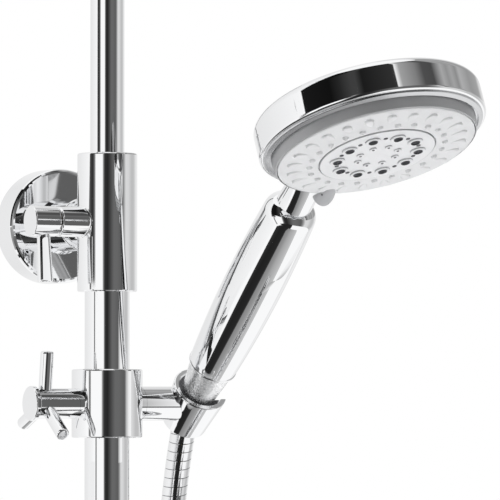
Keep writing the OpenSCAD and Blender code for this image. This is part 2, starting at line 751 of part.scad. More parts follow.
module bevel_ring() color(grey_plastic) in_head() rotate_extrude($fn = 120) polygon([
    [ring_inner_r, bezel_z - bevel_seat + face_gap], [ring_inner_r, -0.6],
    [ring_inner_r + 0.5, -0.3], [bezel_inner_r - 0.25, bezel_z - 0.6],
    [bezel_inner_r - 0.25, bezel_z - bevel_seat + face_gap]]);

module flow_plate() color(dark_plastic) in_head() difference() {
    rod(cavity_d - 0.2, plate_top - plate_t, plate_top);
    rod(pin_d + 2 * fit_gap, plate_top - 2 * plate_t, 0);
    for (i = [0:7]) rotate(45 * i) translate([jet_disc_d / 3, 0, 0])
        rod(5, plate_top - 2 * plate_t, 0);
}

module face_screw() color(steel) in_head() {
    rod(pin_d, plate_top - plate_t, -jet_disc_t - screw_head_t);
    rod(screw_head_d, -jet_disc_t - screw_head_t - 3 * face_gap, -jet_disc_t - 3 * face_gap);
}

// Spray face
module spray_face() color(white_plastic) on_face() difference() {
    union() {
        rounded_rod(face_d, -face_plate_t, 0, 0, 0.6);
        ring(face_d - 0.6, face_d - 2 * skirt_wall - 0.6, plate_top + 2 * face_gap, -face_plate_t);
        rod(screw_head_d + 5, plate_top + 2 * face_gap, -face_plate_t);
    }
    rod(pin_d + 2 * fit_gap, plate_top - cut, 0);
    rod(screw_head_d + 0.4, -jet_disc_t - screw_head_t - 4 * face_gap, 0);
    rod(jet_disc_d + 1, -jet_disc_t - face_gap, cut);
    ring(2 * nozzle_pad_outer_r + 0.2, 2 * nozzle_pad_inner_r - 0.2, -nozzle_pad_t - face_gap, cut);
}

// A drop-shaped nozzle, its round end outwards.
module drop_nozzle(r, length, height) linear_extrude(height)
    polygon(concat([[-length, 0]], arc(0, 0, r, -75, 75, 6)));

module nozzle_ring() color(soft_white) on_face() {
    ring(2 * nozzle_pad_outer_r, 2 * nozzle_pad_inner_r, -nozzle_pad_t, 0);
    for (i = [0:23]) rotate(15 * i) {
        rotate(7.5) translate([nozzle_pad_outer_r - 4.3, 0, -0.2]) drop_nozzle(1.7, 4.2, 1.8);
        translate([nozzle_pad_inner_r + 4.5, 0, -0.2])
            cylinder(d1 = 3.2, d2 = 2.2, h = 1.8, $fn = 20);
    }
}

module jet_disc() color(white_plastic) on_face() difference() {
    union() {
        rounded_rod(jet_disc_d, -jet_disc_t, jet_rise, 0, 0.5);
        jet_places(jet_turn) cylinder(d1 = jet_boss_d, d2 = jet_boss_d - 1, h = 1, $fn = 24);
        for (i = [0:7]) rotate(45 * i) translate([dimple_circle_r, 0, jet_rise - 0.2])
            cylinder(d1 = 3.2, d2 = 2.2, h = 1.8, $fn = 20);
    }
    jet_places(jet_turn) translate([0, 0, -2]) cylinder(d = 5, h = 4, $fn = 24);
    jet_places(jet_turn + 18) translate([0, 0, -1]) cylinder(d = 1.8, h = 4, $fn = 16);
}

module jet_places(turn) for (i = [0:9])
    rotate(36 * i + turn) translate([jet_circle_r, 0, jet_rise - 0.1]) children();

// A ridge that widens and rises from a point on the face to the thumb's end at its rim.
module selector_tab() color(grey_plastic) on_face() rotate(-90) hull() {
    translate([face_d / 2 - 9, 0, 0]) cylinder(r = 0.6, h = 0.2, $fn = 20);
    for (side = [-1, 1]) {
        translate([face_d / 2 + 1.5, side * (tab_width / 2 - 1.5), 0])
            cylinder(r = 1.5, h = 1.5, $fn = 20);
        translate([face_d / 2 + 3.5, side * (tab_width / 4 - 1), 0])
            cylinder(r = 1.4, h = tab_height, $fn = 20);
    }
}

// Hose
function hose_exit() = [0, ferrule_end];
function cup_to_plane(y, z) = [y * cos(tilt) - z * sin(tilt), y * sin(tilt) + z * cos(tilt)];
function route_in_plane() = concat(
    [cup_to_plane(0, ferrule_end), cup_to_plane(0, ferrule_end - hose_d)], drop_points);
function knots() = [for (p = route_in_plane()) [0, p[0], p[1]]];

// A smooth curve through the route's knots, with the same number of steps between each pair.
function smooth_point(a, b, c, d, t) =
    0.5 * (2 * b + (c - a) * t + (2 * a - 5 * b + 4 * c - d) * t * t
           + (3 * b - a - 3 * c + d) * t * t * t);
function smooth_path(k, steps) = let (last = len(k) - 1) concat(
    [for (i = [0:last - 1]) for (j = [0:steps - 1])
        i == 0 ? k[0] + (k[1] - k[0]) * j / steps
               : smooth_point(k[i - 1], k[i], k[i + 1], k[min(i + 2, last)], j / steps)],
    [k[last]]);

function smooth_step(t) = let (u = max(0, min(1, t))) u * u * (3 - 2 * u);
coil_entry = drop_points[len(drop_points) - 1];
coil_centre = [coil_entry[0] - coil_entry_r, coil_entry[1]];
function coil_r(turn) = coil_entry_r - coil_step * min(turn, coil_turns - turn);
function coil_point(turn) = [
    coil_step * smooth_step((turn - coil_turns / 2) * 2 + 0.5),
    coil_centre[0] + coil_r(turn) * cos(360 * turn),
    coil_centre[1] - coil_r(turn) * sin(360 * turn)];
function coil_points(count) = [for (i = [0:count]) coil_point(coil_turns * i / count)];
coil_path = coil_points(round(coil_turns * coil_rings));
coil_last = coil_path[len(coil_path) - 1];
tail_direction = [0, -sin(360 * coil_turns), -cos(360 * coil_turns)];
drop_steps = round(path_length(knots()) / (len(knots()) - 1) / (rib_pitch / 2));
drop_path = smooth_path(knots(), drop_steps);
tail_length = hose_length - path_length(drop_path) - path_length(coil_path);
tail_path = [for (i = [1:tail_steps]) coil_last + tail_direction * tail_length * i / tail_steps];
coil_and_tail = concat(coil_path, tail_path);
end_point = coil_and_tail[len(coil_and_tail) - 1];

function path_length(p, i = 1) = i >= len(p) ? 0 : norm(p[i] - p[i - 1]) + path_length(p, i + 1);
function unit(v) = v / norm(v);
function tangent(p, i) = unit(p[min(i + 1, len(p) - 1)] - p[max(i - 1, 0)]);
function across(t) = unit([1, 0, 0] - t[0] * t);
function section(p, t, r, sides) = let (a = across(t), b = cross(t, a))
    [for (k = [0:sides - 1]) p + r * (cos(360 * k / sides) * a + sin(360 * k / sides) * b)];

// A tube along a path: one outer and one inner ring at each point, closed by flat ends.
module swept_tube(path, radii, bore_r, sides, first_t, last_t) {
    n = len(path);
    tangents = [for (i = [0:n - 1]) i == 0 ? first_t : i == n - 1 ? last_t : tangent(path, i)];
    outer = [for (i = [0:n - 1]) each section(path[i], tangents[i], radii[i], sides)];
    inner = [for (i = [0:n - 1]) each section(path[i], tangents[i], bore_r, sides)];
    shift = n * sides;
    function at(i, k, base) = base + i * sides + k % sides;
    walls = [for (i = [0:n - 2]) for (k = [0:sides - 1]) each [
        [at(i, k, 0), at(i, k + 1, 0), at(i + 1, k + 1, 0)],
        [at(i, k, 0), at(i + 1, k + 1, 0), at(i + 1, k, 0)],
        [at(i, k, shift), at(i + 1, k + 1, shift), at(i, k + 1, shift)],
        [at(i, k, shift), at(i + 1, k, shift), at(i + 1, k + 1, shift)]]];
    ends = [for (k = [0:sides - 1]) each [
        [at(0, k, 0), at(0, k, shift), at(0, k + 1, shift)],
        [at(0, k, 0), at(0, k + 1, shift), at(0, k + 1, 0)],
        [at(n - 1, k, 0), at(n - 1, k + 1, 0), at(n - 1, k + 1, shift)],
        [at(n - 1, k, 0), at(n - 1, k + 1, shift), at(n - 1, k, shift)]]];
    polyhedron(points = concat(outer, inner), faces = concat(walls, ends), convexity = 10);
}

module in_hose_plane() translate([holder_x, -wall_reach, slider_z]) children();

module hose_drop() color(chrome) in_hose_plane()
    swept_tube(drop_path, [for (i = [0:len(drop_path) - 1]) hose_d / 2 - rib_depth * (i % 2)],
               hose_bore_d / 2, drop_sides, [0, sin(tilt), -cos(tilt)], [0, 0, -1]);

module hose_coil() color(chrome) in_hose_plane()
    swept_tube(coil_and_tail, [for (p = coil_and_tail) hose_d / 2], hose_bore_d / 2, coil_sides,
               [0, 0, -1], tail_direction);

// The tie goes round all the turns at one place of the coil.
tie_turns = [for (t = [tie_angle / 360 : 1 : coil_turns]) t];
tie_low_r = min([for (t = tie_turns) coil_r(t)]) - hose_d / 2 - tie_gap;
tie_high_r = max([for (t = tie_turns) coil_r(t)]) + hose_d / 2 + tie_gap;
tie_low_x = -hose_d / 2 - tie_gap;
tie_high_x = coil_step + hose_d / 2 + tie_gap;
function chamfered(x0, y0, x1, y1, c) = [
    [x0 + c, y0], [x1 - c, y0], [x1, y0 + c], [x1, y1 - c],
    [x1 - c, y1], [x0 + c, y1], [x0, y1 - c], [x0, y0 + c]];

module hose_tie() color(rubber) in_hose_plane()
    translate([0, coil_centre[0], coil_centre[1]]) rotate([90 - tie_angle, 0, 0])
        rotate([90, 0, 0]) translate([0, 0, -tie_width / 2]) linear_extrude(tie_width) difference() {
            polygon([for (p = chamfered(tie_low_x - tie_t, -tie_high_r - tie_t,
                                        tie_high_x + tie_t, tie_t - tie_low_r, 3)) p]);
            polygon([for (p = chamfered(tie_low_x, -tie_high_r, tie_high_x, -tie_low_r, 2)) p]);
        }

// The end fitting lies in line with the hose's tail.
module at_hose_end() in_hose_plane() translate(end_point)
    rotate([acos(tail_direction[2]) * (tail_direction[1] > 0 ? -1 : 1), 0, 0]) children();

end_neck = 12;
end_sleeve_d = hose_d + 1.2;
end_flange_d = thread_d - 2;
end_flange_t = 2;
end_thread_start = end_neck + end_flange_t + washer_seat;
end_nut_d = 27;
end_nut_start = end_neck - 3;
end_nut_height = 15;

module end_ferrule() color(chrome) at_hose_end() difference() {
    union() {
        rod(end_sleeve_d, 0, end_neck);
        rod(end_flange_d, end_neck, end_neck + end_flange_t);
    }
    rod(hose_bore_d, -cut, end_neck + end_flange_t + cut);
}

module end_nut() color(chrome) at_hose_end() difference() {
    rotate(30) translate([0, 0, end_nut_start]) cylinder(d = end_nut_d, h = end_nut_height, $fn = 6);
    rod(end_sleeve_d + 2 * fit_gap, 0, end_neck + cut);
    rod(end_flange_d + 2 * fit_gap, end_neck - face_gap, end_thread_start);
    rod(thread_d, end_thread_start, end_nut_start + end_nut_height + cut);
}

module end_washer() color(rubber) at_hose_end()
    ring(end_flange_d - 0.2, hose_bore_d + 2, end_neck + end_flange_t, end_thread_start);

// The hose's length and the least gap between its turns, measured on closer points and printed.
close_rings = 120;
close_line = concat(coil_points(round(coil_turns * close_rings)),
                    [for (s = [2:2:tail_length]) coil_last + s * tail_direction]);
function self_gap() = min([for (i = [0:len(close_line) - 1])
    for (j = [i + close_rings / 2:len(close_line) - 1]) norm(close_line[i] - close_line[j])]) - hose_d;
echo(length = path_length(drop_path) + path_length(coil_and_tail), drop = path_length(drop_path),
     tail = tail_length, self_gap = self_gap(), end = end_point, end_direction = tail_direction);

wall_flange();
flange_seal();
inlet_stem();
arm_collar();
collar_screw();
stem_seal();
diverter_body();
cartridge_sleeve();
cartridge_body();
fixed_disc();
cartridge_seal();
upper_pipe();
upper_pipe_seal();
lower_pipe();
lower_pipe_seal();
pipe_screws();
pipe_coupling();
coupling_screws();
hose_outlet();
outlet_seal();
lever_hub();
lever_pin();
diverter_spindle();
moving_disc();
slide_bush();
slider_body();
clamp_pad();
knob_hub();
knob_cap();
knob_pins();
clamp_screw();
cup_holder();
cup_liner();
tilt_washer();
pivot_screw();
hose_ferrule();
hose_drop();
hose_coil();
hose_tie();
end_ferrule();
end_nut();
end_washer();
cone_nut();
nut_washer();
handset_body();
handle_insert();
waterway_tube();
rim_ring();
bevel_ring();
flow_plate();
face_screw();
spray_face();
nozzle_ring();
jet_disc();
selector_tab();
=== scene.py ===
"""Studio scene of the middle of a shower system.

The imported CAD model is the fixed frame. Around it stand the handset with its spray face,
the ribbed hose with its coil, and the studio that the chrome mirrors. Lengths are
millimetres, as in the part's source, and each piece is scaled to metres when it is made.
Only the studio's own lengths are metres, apart from those of the cards beside the part.
"""

from __future__ import annotations

import json
import logging
import math
from collections.abc import Iterable, Sequence
from dataclasses import dataclass, field
from enum import Enum

import bmesh
import bpy
from mathutils import Matrix, Vector

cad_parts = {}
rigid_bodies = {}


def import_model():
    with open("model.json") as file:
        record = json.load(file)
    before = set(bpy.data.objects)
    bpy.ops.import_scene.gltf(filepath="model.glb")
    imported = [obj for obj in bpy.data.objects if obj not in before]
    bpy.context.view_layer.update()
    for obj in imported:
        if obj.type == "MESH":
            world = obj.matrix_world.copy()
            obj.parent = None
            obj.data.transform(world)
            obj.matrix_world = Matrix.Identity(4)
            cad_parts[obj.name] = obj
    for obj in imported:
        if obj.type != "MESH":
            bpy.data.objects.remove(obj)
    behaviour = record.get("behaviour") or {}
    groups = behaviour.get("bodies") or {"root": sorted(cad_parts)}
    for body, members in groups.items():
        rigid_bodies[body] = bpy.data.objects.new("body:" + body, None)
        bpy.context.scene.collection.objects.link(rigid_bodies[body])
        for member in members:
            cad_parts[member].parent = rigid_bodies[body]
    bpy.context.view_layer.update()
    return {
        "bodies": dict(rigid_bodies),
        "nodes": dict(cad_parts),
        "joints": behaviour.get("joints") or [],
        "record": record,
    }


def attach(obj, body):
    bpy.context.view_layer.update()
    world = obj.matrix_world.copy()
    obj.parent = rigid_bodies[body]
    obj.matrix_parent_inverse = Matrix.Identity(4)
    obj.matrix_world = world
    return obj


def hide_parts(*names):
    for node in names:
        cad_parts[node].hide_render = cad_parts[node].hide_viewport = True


log = logging.getLogger("shower_system")

MM = 0.001
FULL_TURN = 2 * math.pi
HERE = Matrix.Identity(4)

Mesh = bmesh.types.BMesh
Rows = Sequence[tuple[float, ...]]
Colour = tuple[float, float, float]


class Body(Enum):
    """The moving bodies that new pieces ride on."""

    RISER = "riser"
    HOSE = "hose"
    HANDSET = "handset"
    FACE = "spray_face"


class Slot(Enum):
    """The record's material slots, passed along with new pieces."""

    CHROME = "chrome"
    PLATED = "plated_plastic"
    GREY = "grey_plastic"
    DARK = "dark_plastic"
    WHITE = "white_plastic"
    SOFT_WHITE = "soft_white"
    HOSE = "hose"


def shift(x: float, y: float, z: float) -> Matrix:
    """Returns the matrix that moves by x, y, z."""
    return Matrix.Translation((x, y, z))


def turn(degrees: float, axis: str) -> Matrix:
    """Returns the matrix that turns by degrees about the X, Y or Z axis."""
    return Matrix.Rotation(math.radians(degrees), 4, axis)


def stretch(x: float, y: float) -> Matrix:
    """Returns the matrix that stretches along X and Y."""
    return Matrix.Diagonal((x, y, 1.0, 1.0))


def across(first: float, last: float, at: float) -> float:
    """Returns the value between two others at a place from -1 to 1."""
    return first + (last - first) * (at + 1) / 2


@dataclass(frozen=True)
class Layout:
    """Where the sub-assemblies stand."""

    wall_reach: float = 74.0
    slider_z: float = -100.5
    holder_x: float = 54.2
    tilt: float = 47.0
    handset_turn: float = 2.0
    face_below: float = 40.4
    face_along: float = 236.4
    face_angle: float = 20.8
    selector_turn: float = 3.0

    def riser(self, z: float = 0.0) -> Matrix:
        """Returns the place on the riser's axis at a height."""
        return shift(0, -self.wall_reach, z)

    def to_left(self) -> Matrix:
        """Returns the frame whose Z leaves the riser on the lever's side."""
        return self.riser() @ turn(-90, "Y")

    def hose_plane(self) -> Matrix:
        """Returns the frame of the hose's route, at the arm's axis."""
        return shift(self.holder_x, -self.wall_reach, self.slider_z)

    def hand(self) -> Matrix:
        """Returns the frame of the handset, whose Z runs up the handle."""
        return self.hose_plane() @ turn(self.tilt, "X") @ turn(self.handset_turn, "Z")

    def head_in_hand(self) -> Matrix:
        """Returns the head's frame within the handset's."""
        return shift(0, -self.face_below, self.face_along) @ turn(90 + self.face_angle, "X")

    def head(self) -> Matrix:
        """Returns the frame of the head, whose Z leaves the spray face."""
        return self.hand() @ self.head_in_hand()

    def face(self) -> Matrix:
        """Returns the frame of the turning spray face."""
        return self.head() @ turn(-self.selector_turn, "Z")


LAYOUT = Layout()


class Sock:
    """A node's output on which Python's operators add Math nodes."""

    def __init__(self, graph: Graph, socket: bpy.types.NodeSocket) -> None:
        """Keeps the graph that new nodes go to, and the socket."""
        self.graph = graph
        self.socket = socket

    def _math(self, operation: str, other: Sock | float) -> Sock:
        """Adds one Math node.

        Args:
            operation: The Math node's operation.
            other: Its second value, a Sock or a number.

        Returns:
            The node's output.
        """
        node = self.graph.add("ShaderNodeMath", {"operation": operation}, {0: self, 1: other})
        return self.graph.out(node)

    def __add__(self, other: Sock | float) -> Sock:
        """Returns self + other."""
        return self._math("ADD", other)

    __radd__ = __add__

    def __mul__(self, other: Sock | float) -> Sock:
        """Returns self * other."""
        return self._math("MULTIPLY", other)

    __rmul__ = __mul__

    def at_least(self, other: Sock | float) -> Sock:
        """Returns the greater of self and other."""
        return self._math("MAXIMUM", other)


class Graph:
    """A node tree and the one way in which nodes are added to it."""

    def __init__(self, tree: bpy.types.NodeTree) -> None:
        """Clears the tree and keeps it."""
        self.tree = tree
        tree.nodes.clear()

    def add(
        self,
        kind: str,
        settings: dict[str, object] | None = None,
        sockets: dict[str | int, object] | None = None,
    ) -> bpy.types.Node:
        """Adds a node.

        Args:
            kind: The node's type.
            settings: Its settings. "stops" holds a ramp's positions and greys.
            sockets: The values or links of its inputs.

        Returns:
            The node.
        """
        node = self.tree.nodes.new(kind)
        for name, value in (settings or {}).items():
            if name == "stops":
                self._set_stops(node.color_ramp, value)
            else:
                setattr(node, name, value)
        for name, value in (sockets or {}).items():
            if isinstance(value, Sock):
                self.tree.links.new(value.socket, node.inputs[name])
            else:
                node.inputs[name].default_value = value
        return node

    def out(self, node: bpy.types.Node, name: str | int = 0) -> Sock:
        """Returns a node's output, wrapped."""
        return Sock(self, node.outputs[name])

    @staticmethod
    def _set_stops(ramp: bpy.types.ColorRamp, stops: Sequence[tuple[float, float]]) -> None:
        """Sets a ramp's stops.

        Args:
            ramp: The ramp.
            stops: A position and a grey for each stop.
        """
        while len(ramp.elements) > 1:
            ramp.elements.remove(ramp.elements[-1])
        for index, (position, grey) in enumerate(stops):
            stop = ramp.elements.new(position) if index else ramp.elements[0]
            stop.position = position
            stop.color = (grey, grey, grey, 1.0)

    def place(self, name: str) -> Sock:
        """Adds a Texture Coordinate node and returns one of its outputs."""
        return self.out(self.add("ShaderNodeTexCoord"), name)

    def noise(self, scale: float, detail: float = 3.0, roughness: float = 0.5) -> Sock:
        """Adds a noise on Object coordinates.

        Args:
            scale: Its scale.
            detail: Its detail.
            roughness: Its roughness.

        Returns:
            Its factor.
        """
        sockets = {
            "Vector": self.place("Object"), "Scale": scale, "Detail": detail,
            "Roughness": roughness,
        }
        return self.out(self.add("ShaderNodeTexNoise", None, sockets), "Fac")

    def mix_colour(self, factor: Sock, first: Colour | Sock, second: Colour) -> Sock:
        """Adds a colour Mix.

        Args:
            factor: The share of the second colour.
            first: The first colour, plain or another node's output.
            second: The second colour.

        Returns:
            The mixed colour.
        """
        start = first if isinstance(first, Sock) else (*first, 1.0)
        sockets = {0: factor, 6: start, 7: (*second, 1.0)}
        return self.out(self.add("ShaderNodeMix", {"data_type": "RGBA"}, sockets), 2)

    def bump(self, height: Sock, distance: float) -> Sock:
        """Adds a Bump node on a height and returns its normal."""
        sockets = {"Height": height, "Distance": distance, "Strength": 1.0}
        return self.out(self.add("ShaderNodeBump", None, sockets), "Normal")


@dataclass(frozen=True)
class Finish:
    """A finish with a base colour that varies a little over the surface."""

    name: str
    colour: Colour
    shade: Colour
    roughness: float
    metallic: float = 0.0
    patch_scale: float = 40.0
    grain_scale: float = 1800.0
    grain_depth: float = 0.00001
    roughness_spread: float = 0.06

    def material(self) -> bpy.types.Material:
        """Makes the finish's material at its first use.

        Returns:
            The material.
        """
        name = f"finish_{self.name}"
        made = bpy.data.materials.get(name)
        if made:
            return made
        made = bpy.data.materials.new(name)
        made.use_nodes = True
        graph = Graph(made.node_tree)
        shader = graph.add("ShaderNodeBsdfPrincipled", None, {
            "Base Color": self.base(graph),
            "Roughness": self.sheen(graph),
            "Metallic": self.metallic,
            "Normal": graph.bump(self.relief(graph), self.grain_depth),
        })
        graph.add("ShaderNodeOutputMaterial", None, {"Surface": graph.out(shader, "BSDF")})
        return made

    def base(self, graph: Graph) -> Sock:
        """Returns the base colour, mixed in soft patches."""
        return graph.mix_colour(graph.noise(self.patch_scale), self.colour, self.shade)

    def sheen(self, graph: Graph) -> Sock:
        """Returns the roughness, which varies in soft patches too."""
        patches = graph.noise(self.patch_scale * 0.7, 5.0, 0.6)
        return patches * self.roughness_spread + (self.roughness - self.roughness_spread / 2)

    def relief(self, graph: Graph) -> Sock:
        """Returns the height of the fine grain."""
        return graph.noise(self.grain_scale, 4.0, 0.6)


@dataclass(frozen=True)
class FrostedChrome(Finish):
    """A sandblasted chrome whose fine grains are painted bright and dull, as painted glints."""

    def base(self, graph: Graph) -> Sock:
        """Mixes the base colour in sharp fine grains, bright and dull, which paint glints.

        Args:
            graph: The material's graph.

        Returns:
            The colour.
        """
        # The grains' bright and dull colours are painted glints.
        glint_grains = graph.noise(self.grain_scale, 2.0, 0.8)
        ramp = graph.add("ShaderNodeValToRGB", {"stops": [(0.44, 0.0), (0.56, 1.0)]}, {0: glint_grains})
        return graph.mix_colour(graph.out(ramp), self.colour, self.shade)


@dataclass(frozen=True)
class TurnedMetal(Finish):
    """A turned metal with fine tool rings."""

    ring_scale: float = 500.0

    def relief(self, graph: Graph) -> Sock:
        """Adds the tool rings.

        Args:
            graph: The material's graph.

        Returns:
            Their height.
        """
        wave = graph.add(
            "ShaderNodeTexWave",
            {"wave_type": "BANDS", "bands_direction": "DIAGONAL"},
            {"Vector": graph.place("Object"), "Scale": self.ring_scale, "Distortion": 0.6},
        )
        return graph.out(wave, "Fac")


@dataclass(frozen=True)
class HoseMetal(Finish):
    """The hose's bright metal, with painted shade in the seams between its segments."""

    # The dark grey of the seams is painted shade in their grooves.
    seam_shade_colour: Colour = (0.22, 0.22, 0.23)

    def base(self, graph: Graph) -> Sock:
        """Returns the metal's colour, darkened as painted shade where the seam attribute is high.
        """
        seam = graph.out(graph.add("ShaderNodeAttribute", {"attribute_name": "seam"}), "Fac")
        return graph.mix_colour(seam, super().base(graph), self.seam_shade_colour)


class Finishes:
    """All the finishes of the part."""

    chrome = Finish(
        "bright_chrome", (0.955, 0.958, 0.965), (0.93, 0.935, 0.945), 0.03, 1.0,
        patch_scale=22.0, grain_scale=300.0, grain_depth=0.0000001, roughness_spread=0.02,
    )
    plated = Finish(
        "plated_plastic", (0.95, 0.953, 0.96), (0.925, 0.93, 0.94), 0.035, 1.0,
        patch_scale=18.0, grain_scale=240.0, grain_depth=0.0000001, roughness_spread=0.02,
    )
    satin_chrome = Finish(
        "satin_chrome", (0.74, 0.745, 0.755), (0.66, 0.665, 0.68), 0.24, 1.0, grain_scale=2000.0,
    )
    # Its two colours are the bright and dull grains that paint glints on the sandblasted nut.
    frosted = FrostedChrome(
        "frosted_chrome", (0.99, 0.99, 0.995), (0.84, 0.85, 0.86), 0.24, 0.75,
        patch_scale=30.0, grain_scale=700.0, grain_depth=0.0002, roughness_spread=0.08,
    )
    hose = HoseMetal(
        "hose_metal", (0.95, 0.953, 0.96), (0.90, 0.905, 0.915), 0.07, 1.0,
        patch_scale=90.0, grain_scale=700.0, grain_depth=0.000002, roughness_spread=0.05,
    )
    white = Finish(
        "satin_white_plastic", (0.80, 0.805, 0.815), (0.775, 0.78, 0.795), 0.38,
        patch_scale=45.0, grain_scale=2200.0, grain_depth=0.00002,
    )
    soft_white = Finish(
        "soft_white_rubber", (0.77, 0.775, 0.785), (0.74, 0.745, 0.755), 0.5,
        patch_scale=120.0, grain_scale=1500.0, grain_depth=0.00003, roughness_spread=0.08,
    )
    satin_grey = Finish(
        "satin_grey_plastic", (0.46, 0.465, 0.48), (0.40, 0.405, 0.42), 0.3, 0.9,
    )
    wall_grey = Finish(
        "satin_grey_wall", (0.52, 0.525, 0.535), (0.46, 0.465, 0.475), 0.36, 0.3,
    )
    # The selector tab's own matt grey, also used for the face's grey rings of painted shade.
    tab_grey_and_shade = Finish(
        "matt_grey_tab_and_shade", (0.50, 0.505, 0.52), (0.45, 0.455, 0.47), 0.4,
        patch_scale=60.0, grain_depth=0.00002,
    )
    # A near-black that paints the shade in the face's jet wells, small holes and dimple holes,
    # and in the selector's pip.
    hole_shade_dark = Finish(
        "painted_hole_shade", (0.06, 0.062, 0.068), (0.10, 0.102, 0.11), 0.5,
        patch_scale=400.0, grain_scale=1500.0, grain_depth=0.00002, roughness_spread=0.08,
    )
    dark = Finish(
        "dark_plastic", (0.035, 0.035, 0.038), (0.05, 0.05, 0.054), 0.42,
        patch_scale=60.0, grain_scale=1500.0, grain_depth=0.00003, roughness_spread=0.08,
    )
    rubber = Finish(
        "black_rubber", (0.012, 0.012, 0.013), (0.02, 0.02, 0.021), 0.62,
        patch_scale=80.0, grain_scale=1200.0, grain_depth=0.00005, roughness_spread=0.1,
    )
    brass = TurnedMetal(
        "turned_brass", (0.70, 0.50, 0.21), (0.60, 0.42, 0.17), 0.24, 1.0,
        patch_scale=30.0, grain_depth=0.00002, roughness_spread=0.08,
    )
    steel = TurnedMetal(
        "plain_steel", (0.55, 0.56, 0.58), (0.47, 0.48, 0.50), 0.3, 1.0,
        patch_scale=30.0, grain_depth=0.00002, roughness_spread=0.08,
    )
    ceramic = Finish(
        "pale_ceramic", (0.82, 0.80, 0.74), (0.78, 0.76, 0.70), 0.22,
        patch_scale=70.0, grain_scale=2500.0, roughness_spread=0.05,
    )
    floor = Finish(
        "pale_floor", (0.86, 0.86, 0.86), (0.84, 0.84, 0.84), 0.85,
        patch_scale=3.0, grain_scale=60.0, grain_depth=0.0002, roughness_spread=0.05,
    )


